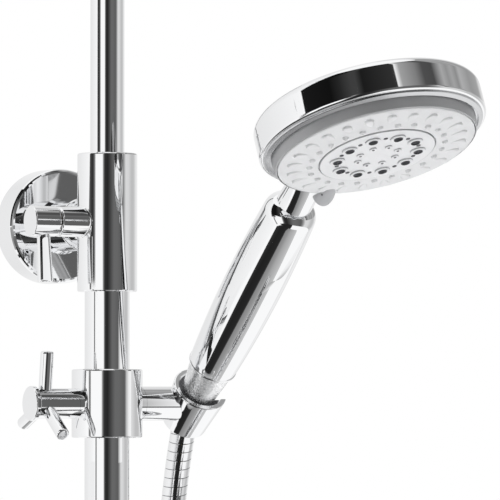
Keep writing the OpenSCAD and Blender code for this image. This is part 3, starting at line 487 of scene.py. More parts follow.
class Workshop:
    """The ways in which a mesh is shaped and made a piece."""

    @classmethod
    def lathe(
        cls, profile: Rows, closed: bool = False, steps: int = 128, place: Matrix = HERE
    ) -> Mesh:
        """Turns a profile about the Z axis.

        Args:
            profile: Corners (radius, height) or (radius, height, rounding).
            closed: Whether the last corner joins the first, as a ring's does.
            steps: The steps of the turn.
            place: Where the form goes.

        Returns:
            The closed mesh, its faces pointing outwards.
        """
        mesh = bmesh.new()
        corners = [mesh.verts.new((radius, 0.0, height)) for radius, height, *_ in profile]
        for first, second in zip(corners, corners[1:]):
            mesh.edges.new((first, second))
        if closed:
            mesh.edges.new((corners[-1], corners[0]))
        for vertex, (_, _, *rounding) in zip(corners, profile):
            if rounding:
                bmesh.ops.bevel(
                    mesh, geom=[vertex], offset=rounding[0], offset_type="OFFSET",
                    segments=max(3, min(8, round(rounding[0] * 4))), profile=0.5,
                    affect="VERTICES", material=-1,
                )
        bmesh.ops.spin(
            mesh, geom=mesh.verts[:] + mesh.edges[:], cent=(0, 0, 0), axis=(0, 0, 1),
            angle=FULL_TURN, steps=steps, use_merge=True, use_normal_flip=False,
            use_duplicate=False,
        )
        bmesh.ops.remove_doubles(mesh, verts=mesh.verts[:], dist=0.0005)
        bmesh.ops.recalc_face_normals(mesh, faces=mesh.faces[:])
        return cls.placed(mesh, place)

    @staticmethod
    def loft(places: Sequence[Matrix], sides: int) -> Mesh:
        """Joins a row of circles into one closed form.

        Args:
            places: The circles' matrices, each turning and stretching a circle of radius 1.
            sides: The number of sides of each circle.

        Returns:
            The closed mesh, its faces pointing outwards.
        """
        mesh = bmesh.new()
        before: list[bmesh.types.BMEdge] = []
        for place in places:
            ring = bmesh.ops.create_circle(
                mesh, cap_ends=False, radius=1.0, segments=sides, matrix=place
            )["verts"]
            edges = list(dict.fromkeys(edge for vertex in ring for edge in vertex.link_edges))
            if before:
                bmesh.ops.bridge_loops(mesh, edges=before + edges)
            before = edges
        bmesh.ops.holes_fill(mesh, edges=[e for e in mesh.edges if e.is_boundary], sides=0)
        bmesh.ops.recalc_face_normals(mesh, faces=mesh.faces[:])
        return mesh

    @staticmethod
    def eased(rows: Rows, steps: int) -> list[tuple[float, ...]]:
        """Puts smooth steps between rows of numbers.

        Args:
            rows: The rows, all of one length.
            steps: The steps from each row to the next.

        Returns:
            The longer list of rows, on a smooth curve through the given ones.
        """
        smooth: list[tuple[float, ...]] = []
        last = len(rows) - 1
        for i in range(last):
            a, b, c, d = rows[max(i - 1, 0)], rows[i], rows[i + 1], rows[min(i + 2, last)]
            for j in range(steps):
                t = j / steps
                smooth.append(tuple(
                    0.5 * (2 * q + (r - p) * t + (2 * p - 5 * q + 4 * r - u) * t * t
                           + (3 * q - p - 3 * r + u) * t ** 3)
                    for p, q, r, u in zip(a, b, c, d)
                ))
        smooth.append(tuple(rows[-1]))
        return smooth

    @classmethod
    def joined(cls, parts: Iterable[Mesh], place: Matrix = HERE) -> Mesh:
        """Puts several meshes into one, frees them and moves the whole.

        Args:
            parts: The meshes.
            place: Where the whole goes.

        Returns:
            One mesh with all their shells.
        """
        whole = bmesh.new()
        for part in parts:
            carrier = bpy.data.meshes.new("carrier")
            part.to_mesh(carrier)
            whole.from_mesh(carrier)
            bpy.data.meshes.remove(carrier)
            part.free()
        return cls.placed(whole, place)

    @staticmethod
    def placed(mesh: Mesh, place: Matrix) -> Mesh:
        """Moves a mesh by a matrix and returns it."""
        bmesh.ops.transform(mesh, matrix=place, verts=mesh.verts[:])
        return mesh

    @staticmethod
    def sheet(columns: int, rows: int) -> Mesh:
        """Makes a flat grid from -1 to 1 each way, with a UV map.

        Args:
            columns: The number of its columns.
            rows: The number of its rows.

        Returns:
            The grid.
        """
        mesh = bmesh.new()
        mesh.loops.layers.uv.new("UVMap")
        bmesh.ops.create_grid(mesh, x_segments=columns, y_segments=rows, size=1.0, calc_uvs=True)
        return mesh

    @staticmethod
    def shown(name: str, mesh: Mesh, material: bpy.types.Material) -> bpy.types.Object:
        """Makes a mesh an object of the scene.

        Args:
            name: The object's name.
            mesh: The mesh. It is freed.
            material: The object's only material.

        Returns:
            The object.
        """
        data = bpy.data.meshes.new(name)
        mesh.to_mesh(data)
        mesh.free()
        data.materials.append(material)
        made = bpy.data.objects.new(name, data)
        bpy.context.scene.collection.objects.link(made)
        return made

    @classmethod
    def finished(
        cls,
        name: str,
        mesh: Mesh,
        finish: Finish,
        body: Body,
        slot: Slot,
        nodes: Sequence[str] = (),
        sharp: float = 32.0,
    ) -> bpy.types.Object:
        """Makes a mesh a smooth-shaded piece that rides on its body.

        Args:
            name: The piece's name.
            mesh: The mesh, in the model's frame. It is freed.
            finish: The finish.
            body: The body that it moves with.
            slot: The record's material slot. Not used.
            nodes: The CAD nodes that it stands for.
            sharp: The angle above which an edge stays sharp, in degrees.

        Returns:
            The piece.
        """
        piece = cls.shown(name, cls.placed(mesh, Matrix.Scale(MM, 4)), finish.material())
        piece.data.shade_smooth()
        piece.data.set_sharp_from_angle(angle=math.radians(sharp))
        weights = piece.modifiers.new("even_normals", "WEIGHTED_NORMAL")
        weights.keep_sharp = True
        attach(piece, body.value)
        if nodes:
            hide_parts(*nodes)
        log.info("%s: %d faces, on %s", name, len(piece.data.polygons), body.value)
        return piece


@dataclass
class Studio:
    """The camera, the floor, the world, the lamps and the boards that chrome mirrors."""

    distance: float = 2.6
    side: float = 0.0794
    eye_height: float = -0.1042
    look_up: float = 1.96
    azimuth: float = -29.0
    lens: float = 336.96
    floor_z: float = -0.64
    floor_y: float = -0.3
    floor_radius: float = 2.2
    board_radius: float = 3.0
    ground_z: float = -1.0
    lamp_distance: float = 2.2
    world_light: float = 0.32

    def __post_init__(self) -> None:
        """Works out the directions to the camera and to its right."""
        angle = math.radians(self.azimuth)
        self.to_camera = Vector((math.sin(angle), -math.cos(angle), 0.0))
        self.right = Vector((math.cos(angle), math.sin(angle), 0.0))
        self.middle = Vector((0.0, -LAYOUT.wall_reach * MM, 0.0))

    def build(self) -> None:
        """Builds the camera, the surroundings and the lamps."""
        bpy.context.scene.view_settings.view_transform = "Standard"
        self.add_camera()
        self.add_world()
        self.add_floor()
        self.add_boards()
        self.add_ground_boards()
        self.add_cards()
        self.add_lamps()

    def add_camera(self) -> None:
        """Adds the camera at the photograph's viewpoint."""
        data = bpy.data.cameras.new("camera")
        data.lens = self.lens
        camera = bpy.data.objects.new("camera", data)
        bpy.context.scene.collection.objects.link(camera)
        tilt = math.radians(self.look_up)
        back = self.to_camera * math.cos(tilt) - Vector((0, 0, math.sin(tilt)))
        up = back.cross(self.right)
        place = Matrix((self.right, up, back)).transposed().to_4x4()
        place.translation = (
            self.middle + self.right * self.side + self.to_camera * self.distance
            + Vector((0, 0, self.eye_height))
        )
        camera.matrix_world = place
        bpy.context.scene.camera = camera

    def add_world(self) -> None:
        """Adds a white world that lights the part less brightly than it shows."""
        world = bpy.data.worlds.new("studio")
        bpy.context.scene.world = world
        world.use_nodes = True
        graph = Graph(world.node_tree)
        path = graph.add("ShaderNodeLightPath")
        seen = graph.out(path, "Is Camera Ray").at_least(graph.out(path, "Is Glossy Ray"))
        seen = seen.at_least(graph.out(path, "Is Transmission Ray"))
        strength = self.world_light + (1.0 - self.world_light) * seen
        light = graph.add(
            "ShaderNodeBackground", None, {"Color": (1.0, 1.0, 1.0, 1.0), "Strength": strength}
        )
        graph.add("ShaderNodeOutputWorld", None, {"Surface": graph.out(light)})

    def add_floor(self) -> None:
        """Adds the pale floor, which metal doesn't mirror."""
        mesh = bmesh.new()
        bmesh.ops.create_circle(
            mesh, cap_ends=True, radius=self.floor_radius, segments=96,
            matrix=shift(0, self.floor_y, self.floor_z),
        )
        floor = Workshop.shown("floor", mesh, Finishes.floor.material())
        floor.visible_glossy = False

    def direction(self, side: float, rise: float) -> Vector:
        """Works out a direction from the part's middle.

        Args:
            side: Its angle from the camera, positive to the right, in degrees.
            rise: Its angle above eye level, in degrees.

        Returns:
            The direction, of length 1.
        """
        side, rise = math.radians(side), math.radians(rise)
        flat = self.to_camera * math.cos(side) + self.right * math.sin(side)
        return flat * math.cos(rise) + Vector((0, 0, math.sin(rise)))

    @staticmethod
    def show_board(name: str, mesh: Mesh, greys: Sequence[tuple[float, float]]) -> None:
        """Makes a mesh a glowing board that only metal mirrors.

        Args:
            name: The board's name.
            mesh: The board's mesh, with a UV map. It is freed.
            greys: Greys along its width, each a place, from its left edge to its right, and
                a grey.
        """
        material = bpy.data.materials.new(name)
        material.use_nodes = True
        graph = Graph(material.node_tree)
        split = graph.add("ShaderNodeSeparateXYZ", None, {0: graph.place("UV")})
        first, last = greys[0][0], greys[-1][0]
        stops = [((at - first) / (last - first), grey) for at, grey in greys]
        ramp = graph.add("ShaderNodeValToRGB", {"stops": stops}, {0: graph.out(split, "X")})
        glow = graph.add("ShaderNodeEmission", None, {"Color": graph.out(ramp)})
        graph.add("ShaderNodeOutputMaterial", None, {"Surface": graph.out(glow)})
        board = Workshop.shown(name, mesh, material)
        board.visible_camera = False
        board.visible_diffuse = False
        board.visible_transmission = False
        board.visible_shadow = False

    def add_boards(self) -> None:
        """Adds the curved boards whose reflections band the chrome.

        Each has its lowest and highest rise above eye level, and its greys at angles from
        the camera, positive to its right, all in degrees.
        """
        for name, rises, greys in (
            ("right_board", (-27, 33), (
                (-16, 0.8), (-12, 0.16), (-7, 0.03), (4, 0.02), (14, 0.06), (28, 0.14),
                (40, 0.14), (60, 0.11), (68, 0.28), (78, 0.72))),
            ("far_right_board", (-27, 8), (
                (78, 0.72), (92, 0.7), (108, 0.54), (122, 0.54), (144, 0.8), (156, 0.9),
                (172, 0.72), (180, 0.86))),
            ("upper_right_board", (33, 64), (
                (-13, 0.05), (-6, 0.012), (28, 0.03), (31.5, 0.04), (32.5, 0.9), (38, 0.36),
                (56, 0.22), (66, 0.08), (78, 0.07))),
            ("far_right_upper_board", (8, 64), (
                (78, 0.07), (90, 0.4), (97, 0.3), (103, 0.38), (110, 0.28), (115, 0.44),
                (130, 0.32), (148, 0.38), (156, 0.7), (180, 0.8))),
            ("upper_left_board", (10, 64), (
                (-79, 0.3), (-77, 0.05), (-70, 0.01), (-40, 0.006), (-30, 0.02),
                (-24, 0.036), (-18, 0.05), (-13, 0.05))),
            ("left_light", (-35, 64), (
                (-180, 0.9), (-150, 0.82), (-120, 0.86), (-90, 0.92), (-72, 0.97),
                (-69, 1.0))),
            ("left_strip", (0.9, 10), (
                (-69, 0.2), (-66, 0.08), (-60, 0.03), (-54, 0.04), (-49, 0.14), (-44, 0.5))),
            ("left_strip_narrow", (-0.9, 0.9), ((-70, 0.3), (-66, 0.08), (-62, 0.4))),
            ("left_strip_thin", (-35, -0.9), ((-60, 0.4), (-56, 0.15), (-52, 0.4))),
        ):
            mesh = Workshop.sheet(24, 12)
            for vertex in mesh.verts:
                side = across(greys[0][0], greys[-1][0], vertex.co.x)
                away = self.direction(side, across(*rises, vertex.co.y))
                vertex.co = self.middle + away * self.board_radius
            self.show_board(name, mesh, greys)

    def add_ground_boards(self) -> None:
        """Adds the flat boards below, which the tilted handle, cup and hose mirror."""
        dark = ((0.0, 0.2), (0.06, 0.03), (0.5, 0.016), (0.92, 0.02), (1.0, 0.06))
        grey = ((0.0, 0.24), (0.25, 0.3), (0.45, 0.4), (0.8, 0.5), (1.0, 0.58))
        for name, left, right, near, far, slant, greys in (
            ("ground_dark", -1.1, -0.26, -0.8, 0.7, 1.2, dark),
            ("ground_grey", -0.26, 0.42, -0.8, 0.7, 0.0, grey),
            ("ground_front", -1.5, -0.12, -2.2, -0.8, 0.0, dark),
        ):
            mesh = Workshop.sheet(8, 8)
            for vertex in mesh.verts:
                deep = across(near, far, vertex.co.y)
                start = left + slant * max(deep, 0.0)
                vertex.co = (across(start, right, vertex.co.x), deep, self.ground_z)
            self.show_board(name, mesh, greys)

    def add_cards(self) -> None:
        """Adds small pale cards before the holder's arm and lever's pin, and under the knob."""
        slider = LAYOUT.riser(LAYOUT.slider_z)
        upright = turn(90, "X")
        for name, place, wide, high, edge in (
            ("arm_card", slider @ shift(92.0, -95.0, 14.0) @ upright, 72.0, 96.0, 0.4),
            ("pin_card", slider @ shift(-92.0, 46.0, -56.0) @ turn(30, "Y"), 90.0, 90.0, 0.9),
            ("lever_card", LAYOUT.riser() @ shift(-42.0, -10.8, -21.8) @ turn(7, "Z") @ upright,
             20.0, 29.0, 0.9),
        ):
            whole = Matrix.Scale(MM, 4) @ place @ stretch(wide / 2, high / 2)
            mesh = Workshop.placed(Workshop.sheet(2, 2), whole)
            self.show_board(name, mesh, ((0.0, edge), (0.45, 0.9), (1.0, 0.95)))

    def add_lamps(self) -> None:
        """Adds two soft lamps that metal doesn't mirror."""
        for name, side, rise, size, power in (
            ("key", 160, 68, 1.6, 112.0),
            ("fill", 50, 15, 2.0, 3.0),
        ):
            data = bpy.data.lights.new(name, "AREA")
            data.shape = "DISK"
            data.size = size
            data.energy = power
            lamp = bpy.data.objects.new(name, data)
            bpy.context.scene.collection.objects.link(lamp)
            away = self.direction(side, rise)
            lamp.location = self.middle + away * self.lamp_distance
            lamp.rotation_euler = away.to_track_quat("Z", "Y").to_euler()
            lamp.visible_glossy = False
            lamp.visible_camera = False


@dataclass
class ShowerHose:
    """The ribbed metal hose, from the nut in the cup to its end fitting."""

    diameter: float = 14.0
    length: float = 1500.0
    cup_end: float = 2.0
    rib_pitch: float = 5.2
    seam_depth: float = 0.3
    seam_share: float = 0.1
    stations: tuple[float, ...] = (0.0, 0.05, 0.09, 0.36, 0.64, 0.91, 0.95)
    bulge: float = 0.012
    drop: tuple[tuple[float, float], ...] = (
        (13.2, -19.8), (17.1, -31.8), (20.4, -44), (23.2, -56.3), (25.2, -68.8), (26.2, -81.5),
        (26.4, -94.2), (26.4, -107), (26.4, -119.8), (26.4, -132.6), (26.4, -145.4),
        (26.4, -158.2),
    )
    drop_steps: int = 24
    coil_radius: float = 76.5
    coil_turns: float = 3.15
    coil_gap: float = 0.8
    coil_steps: int = 240
    sides: int = 30
    ring_step: float = 0.65
    bore_share: float = 0.6

    def drop_line(self) -> list[Vector]:
        """Works out the hanging stretch.

        Returns:
            Its points, straight in the cup and then smooth through the knots.
        """
        axis = turn(LAYOUT.tilt, "X").to_3x3() @ Vector((0.0, 0.0, 1.0))
        start, neck = axis * self.cup_end, axis * (self.cup_end - self.diameter)
        knots = [(start.y, start.z), (neck.y, neck.z), *self.drop]
        steps = self.drop_steps
        curve = [Vector((0.0, y, z)) for y, z in Workshop.eased(knots, steps)]
        return [start.lerp(neck, k / steps) for k in range(steps)] + curve[steps:]

    def coil_point(self, turns: float) -> Vector:
        """Works out a point of the coil, which winds in and then out again beside itself.

        Args:
            turns: The turns from its start.

        Returns:
            The point.
        """
        step = self.diameter + self.coil_gap
        share = max(0.0, min(1.0, (turns - self.coil_turns / 2) * 2 + 0.5))
        radius = self.coil_radius - step * min(turns, self.coil_turns - turns)
        entry_y, entry_z = self.drop[-1]
        return Vector((
            step * share * share * (3 - 2 * share),
            entry_y - self.coil_radius + radius * math.cos(FULL_TURN * turns),
            entry_z - radius * math.sin(FULL_TURN * turns),
        ))

    def centre_line(self) -> list[Vector]:
        """Works out the whole route: the hanging stretch, the coil and the straight end.

        Returns:
            Its points in even steps, in the hose's plane.
        """
        line = self.drop_line()
        count = round(self.coil_turns * self.coil_steps)
        line += [self.coil_point(self.coil_turns * i / count) for i in range(1, count + 1)]
        angle = FULL_TURN * self.coil_turns
        way = Vector((0.0, -math.sin(angle), -math.cos(angle)))
        so_far = sum((b - a).length for a, b in zip(line, line[1:]))
        line.append(line[-1] + way * (self.length - so_far))
        return self.even(line)

    def even(self, line: Sequence[Vector]) -> list[Vector]:
        """Puts points at even steps along a line.

        Args:
            line: The line's points.

        Returns:
            The even points, from its first point to its last.
        """
        total = sum((b - a).length for a, b in zip(line, line[1:]))
        count = round(total / self.ring_step)
        points, walked, index = [line[0].copy()], 0.0, 0
        for k in range(1, count):
            target = total * k / count
            while walked + (line[index + 1] - line[index]).length < target:
                walked += (line[index + 1] - line[index]).length
                index += 1
            span = line[index + 1] - line[index]
            points.append(line[index] + span * ((target - walked) / span.length))
        points.append(line[-1].copy())
        return points

    def surface(self, phase: float) -> tuple[float, float]:
        """Works out the hose's surface at one place of a segment.

        Args:
            phase: The place, from 0 to 1, where 0 and 1 are the seams.

        Returns:
            The radius, and how deep in the seam the place is, from 0 to 1.
        """
        near = min(phase, 1.0 - phase) * 2
        depth = max(0.0, 1.0 - near / self.seam_share)
        crown = self.bulge * (1.0 - near) ** 2
        return self.diameter / 2 - self.seam_depth * depth - crown * (1 - depth), depth

    @staticmethod
    def sides_at(line: Sequence[Vector], index: int) -> tuple[Vector, Vector]:
        """Works out the two directions across the line at one of its points.

        Args:
            line: The line's points.
            index: The number of the point.

        Returns:
            The direction nearest to X, and the one at a right angle to it.
        """
        way = line[min(index + 1, len(line) - 1)] - line[max(index - 1, 0)]
        way.normalize()
        side = (Vector((1, 0, 0)) - way * way.x).normalized()
        return side, way.cross(side)

    def wound(self, line: Sequence[Vector]) -> Mesh:
        """Winds one helical strip of segments along a line.

        Args:
            line: The line, in even steps.

        Returns:
            The tube, open at both ends, with the seam attribute.
        """
        frames = [self.sides_at(line, i) for i in range(len(line))]
        ribs = math.ceil(self.length / self.rib_pitch) + 1
        rows = [(rib, phase) for rib in range(ribs) for phase in self.stations]
        mesh = bmesh.new()
        seam = mesh.verts.layers.float.new("seam")
        bmesh.ops.create_grid(mesh, x_segments=len(rows) - 1, y_segments=self.sides, size=1.0)
        for vertex in mesh.verts:
            rib, phase = rows[round(across(0, len(rows) - 1, vertex.co.x))]
            around = round(across(0, self.sides, vertex.co.y)) / self.sides
            along = (rib + phase + around - 1) * self.rib_pitch
            radius, vertex[seam] = self.surface(phase)
            if not 0.0 < along < self.length:
                along = min(max(along, 0.0), self.length)
                radius, vertex[seam] = self.diameter / 2, 0.0
            step = min(along / self.ring_step, len(line) - 1.001)
            index, share = int(step), step % 1.0
            side, over = (a.lerp(b, share) for a, b in zip(frames[index], frames[index + 1]))
            angle = FULL_TURN * around
            vertex.co = line[index].lerp(line[index + 1], share) + radius * (
                side * math.cos(angle) + over * math.sin(angle)
            )
        bmesh.ops.remove_doubles(mesh, verts=mesh.verts[:], dist=0.001)
        bmesh.ops.dissolve_degenerate(mesh, edges=mesh.edges[:], dist=0.001)
        return mesh

    def close_ends(self, mesh: Mesh, ends: Sequence[Vector]) -> None:
        """Closes the tube's ends.

        Args:
            mesh: The tube.
            ends: The centres of its two ends.
        """
        rims = [edge for edge in mesh.edges if edge.is_boundary]
        for item in bmesh.ops.extrude_edge_only(mesh, edges=rims)["geom"]:
            if isinstance(item, bmesh.types.BMVert):
                centre = min(ends, key=lambda end: (end - item.co).length)
                item.co = centre + (item.co - centre) * self.bore_share
        bmesh.ops.holes_fill(mesh, edges=[e for e in mesh.edges if e.is_boundary], sides=0)
        bmesh.ops.recalc_face_normals(mesh, faces=mesh.faces[:])

    def build(self) -> None:
        line = self.centre_line()
        mesh = self.wound(line)
        self.close_ends(mesh, (line[0], line[-1]))
        place = LAYOUT.hose_plane()
        hose = Workshop.finished(
            "ribbed_hose", Workshop.placed(mesh, place), Finishes.hose, Body.HOSE, Slot.HOSE,
            ["hose_drop", "hose_coil"], sharp=35.0,
        )
        route = [(place @ point) * MM for point in [*line[::4], line[-1]]]


@dataclass
class Diverter:
    """The bead where the lever's sleeve meets the diverter body."""

    body_radius: float = 16.65
    lever_radius: float = 8.45
    bead: float = 0.75

    def build(self) -> None:
        """Builds the bead, which follows the body's curve."""
        ring = [
            (self.lever_radius + self.bead * math.cos(math.radians(a)),
             self.bead * math.sin(math.radians(a)))
            for a in range(0, 360, 45)
        ]
        mesh = Workshop.lathe(ring, closed=True)
        for vertex in mesh.verts:
            vertex.co.z += math.sqrt(self.body_radius ** 2 - vertex.co.y ** 2)
        Workshop.placed(mesh, LAYOUT.to_left())
        Workshop.finished(
            "sleeve_bead", mesh, Finishes.chrome, Body.RISER, Slot.CHROME, sharp=80.0
        )


@dataclass
class Handset:
    """The handset's shell: the handle's barrel, the neck and the head."""

    barrel_start: float = 31.6
    barrel_length: float = 127.0
    start_radius: float = 13.6
    lip_radius: float = 14.0
    lip_height: float = 1.0
    belly_radius: float = 16.2
    belly_at: float = 69.0
    dome: float = 8.5
    bore_radius: float = 10.5
    bore_end: float = 152.6
    head_radius: float = 61.15
    cavity_radius: float = 58.6
    band_low: float = -7.8
    band_top: float = -26.5
    band_edge: float = 1.9
    back_edge: float = 4.2
    crown_inset: float = 3.3
    crown_rise: float = 8.3
    inner_crown: float = -29.8

    def barrel_radius(self, along: float) -> float:
        """Works out the barrel's radius, which follows one arc.

        Args:
            along: The distance from its lower end.

        Returns:
            The radius.
        """
        rise = self.belly_radius - self.start_radius
        arc = (self.belly_at ** 2 + rise ** 2) / (2 * rise)
        return self.belly_radius - arc + math.sqrt(arc ** 2 - (along - self.belly_at) ** 2)

    def barrel(self) -> Mesh:
        """Turns the handle's hollow barrel, with a domed top.

        Returns:
            The barrel.
        """
        low, end = self.barrel_start, self.barrel_start + self.barrel_length
        straight, steps = self.barrel_length - self.dome, 28
        heights = [straight * k / steps for k in range(1, steps)]
        edge = self.barrel_radius(straight) - self.dome
        bends = [math.radians(a) for a in range(0, 91, 9)]
        return Workshop.lathe([
            (0.0, self.bore_end), (self.bore_radius, self.bore_end), (self.bore_radius, low),
            (self.lip_radius, low, 0.3), (self.lip_radius, low + self.lip_height, 0.3),
            (self.start_radius, low + self.lip_height + 0.2),
            *((self.barrel_radius(height), low + height) for height in heights),
            *((edge + self.dome * math.cos(a), end - self.dome + self.dome * math.sin(a))
              for a in bends),
            (0.0, end),
        ], steps=160)

    @staticmethod
    def neck() -> Mesh:
        """Lofts the neck from ovals that run from the barrel into the head.

        Returns:
            The neck.
        """
        # Each row holds an oval's height, its offset, its half sizes and its tilt
        rows = (
            (150.0, 0.0, 9.9, 9.9, 0.0), (158.0, 0.0, 10.1, 9.8, 1.0),
            (165.0, -0.3, 10.0, 9.4, 4.0), (174.0, -1.0, 10.3, 8.8, 10.0),
            (184.0, -2.0, 11.3, 7.8, 16.0), (194.0, -3.0, 12.8, 6.9, 20.0),
            (204.0, -5.6, 14.2, 6.4, 20.8),
        )
        return Workshop.loft([
            shift(0, y, z) @ turn(tilt, "X") @ stretch(wide, deep)
            for z, y, wide, deep, tilt in Workshop.eased(rows, 8)
        ], sides=64)

    def head(self) -> Mesh:
        """Turns the head's shell, open towards the spray face.

        Returns:
            The shell.
        """
        rim, steps = self.head_radius - self.crown_inset, 26
        shares = [1 - k / steps for k in range(1, steps + 1)]
        top = self.band_top
        return Workshop.lathe([
            (0.0, self.inner_crown), (self.cavity_radius - 4, top + 2.3),
            (self.cavity_radius, top + 5.7), (self.cavity_radius, self.band_low),
            (self.head_radius, self.band_low, self.band_edge),
            (self.head_radius, top, self.back_edge),
            *((rim * share, top - self.crown_rise * (1 - share ** 2)) for share in shares),
        ], steps=192, place=LAYOUT.head_in_hand())

    def build(self) -> None:
        """Builds the shell as one piece."""
        shell = Workshop.joined([self.barrel(), self.neck(), self.head()], LAYOUT.hand())
        Workshop.finished(
            "handset_shell", shell, Finishes.plated, Body.HANDSET, Slot.CHROME,
            ["handset_body"], sharp=28.0,
        )


@dataclass
class Bezel:
    """The bright lip round the spray face and the grey wall that the face rises from."""

    lip_outer: float = 59.05
    lip_inner: float = 56.3
    lip_edge: float = -6.9
    lip_top: float = -5.7
    groove: float = 1.3
    groove_floor: float = -7.3
    wall_foot: float = -5.9
    wall_inner: float = 53.45
    wall_top: float = -0.35
    low: float = -7.78

    def build(self) -> None:
        """Builds the lip and the wall."""
        foot = self.lip_inner - self.groove
        lip = [
            (self.lip_outer, self.low), (self.lip_outer, self.lip_edge, 0.5),
            (self.lip_inner, self.lip_top, 0.35), (self.lip_inner, self.groove_floor),
            (foot - 0.9, self.groove_floor), (foot - 0.9, self.low),
        ]
        floor = self.groove_floor + 0.05
        wall = [
            (self.wall_inner, floor), (foot, floor), (foot, self.wall_foot),
            (self.wall_inner + 0.7, self.wall_top - 0.3, 0.25), (self.wall_inner, self.wall_top),
        ]
        for name, profile, finish, slot, node in (
            ("bezel_lip", lip, Finishes.satin_chrome, Slot.PLATED, "rim_ring"),
            ("bezel_wall", wall, Finishes.wall_grey, Slot.GREY, "bevel_ring"),
        ):
            mesh = Workshop.lathe(profile, closed=True, steps=192, place=LAYOUT.head())
            Workshop.finished(name, mesh, finish, Body.HANDSET, slot, [node])


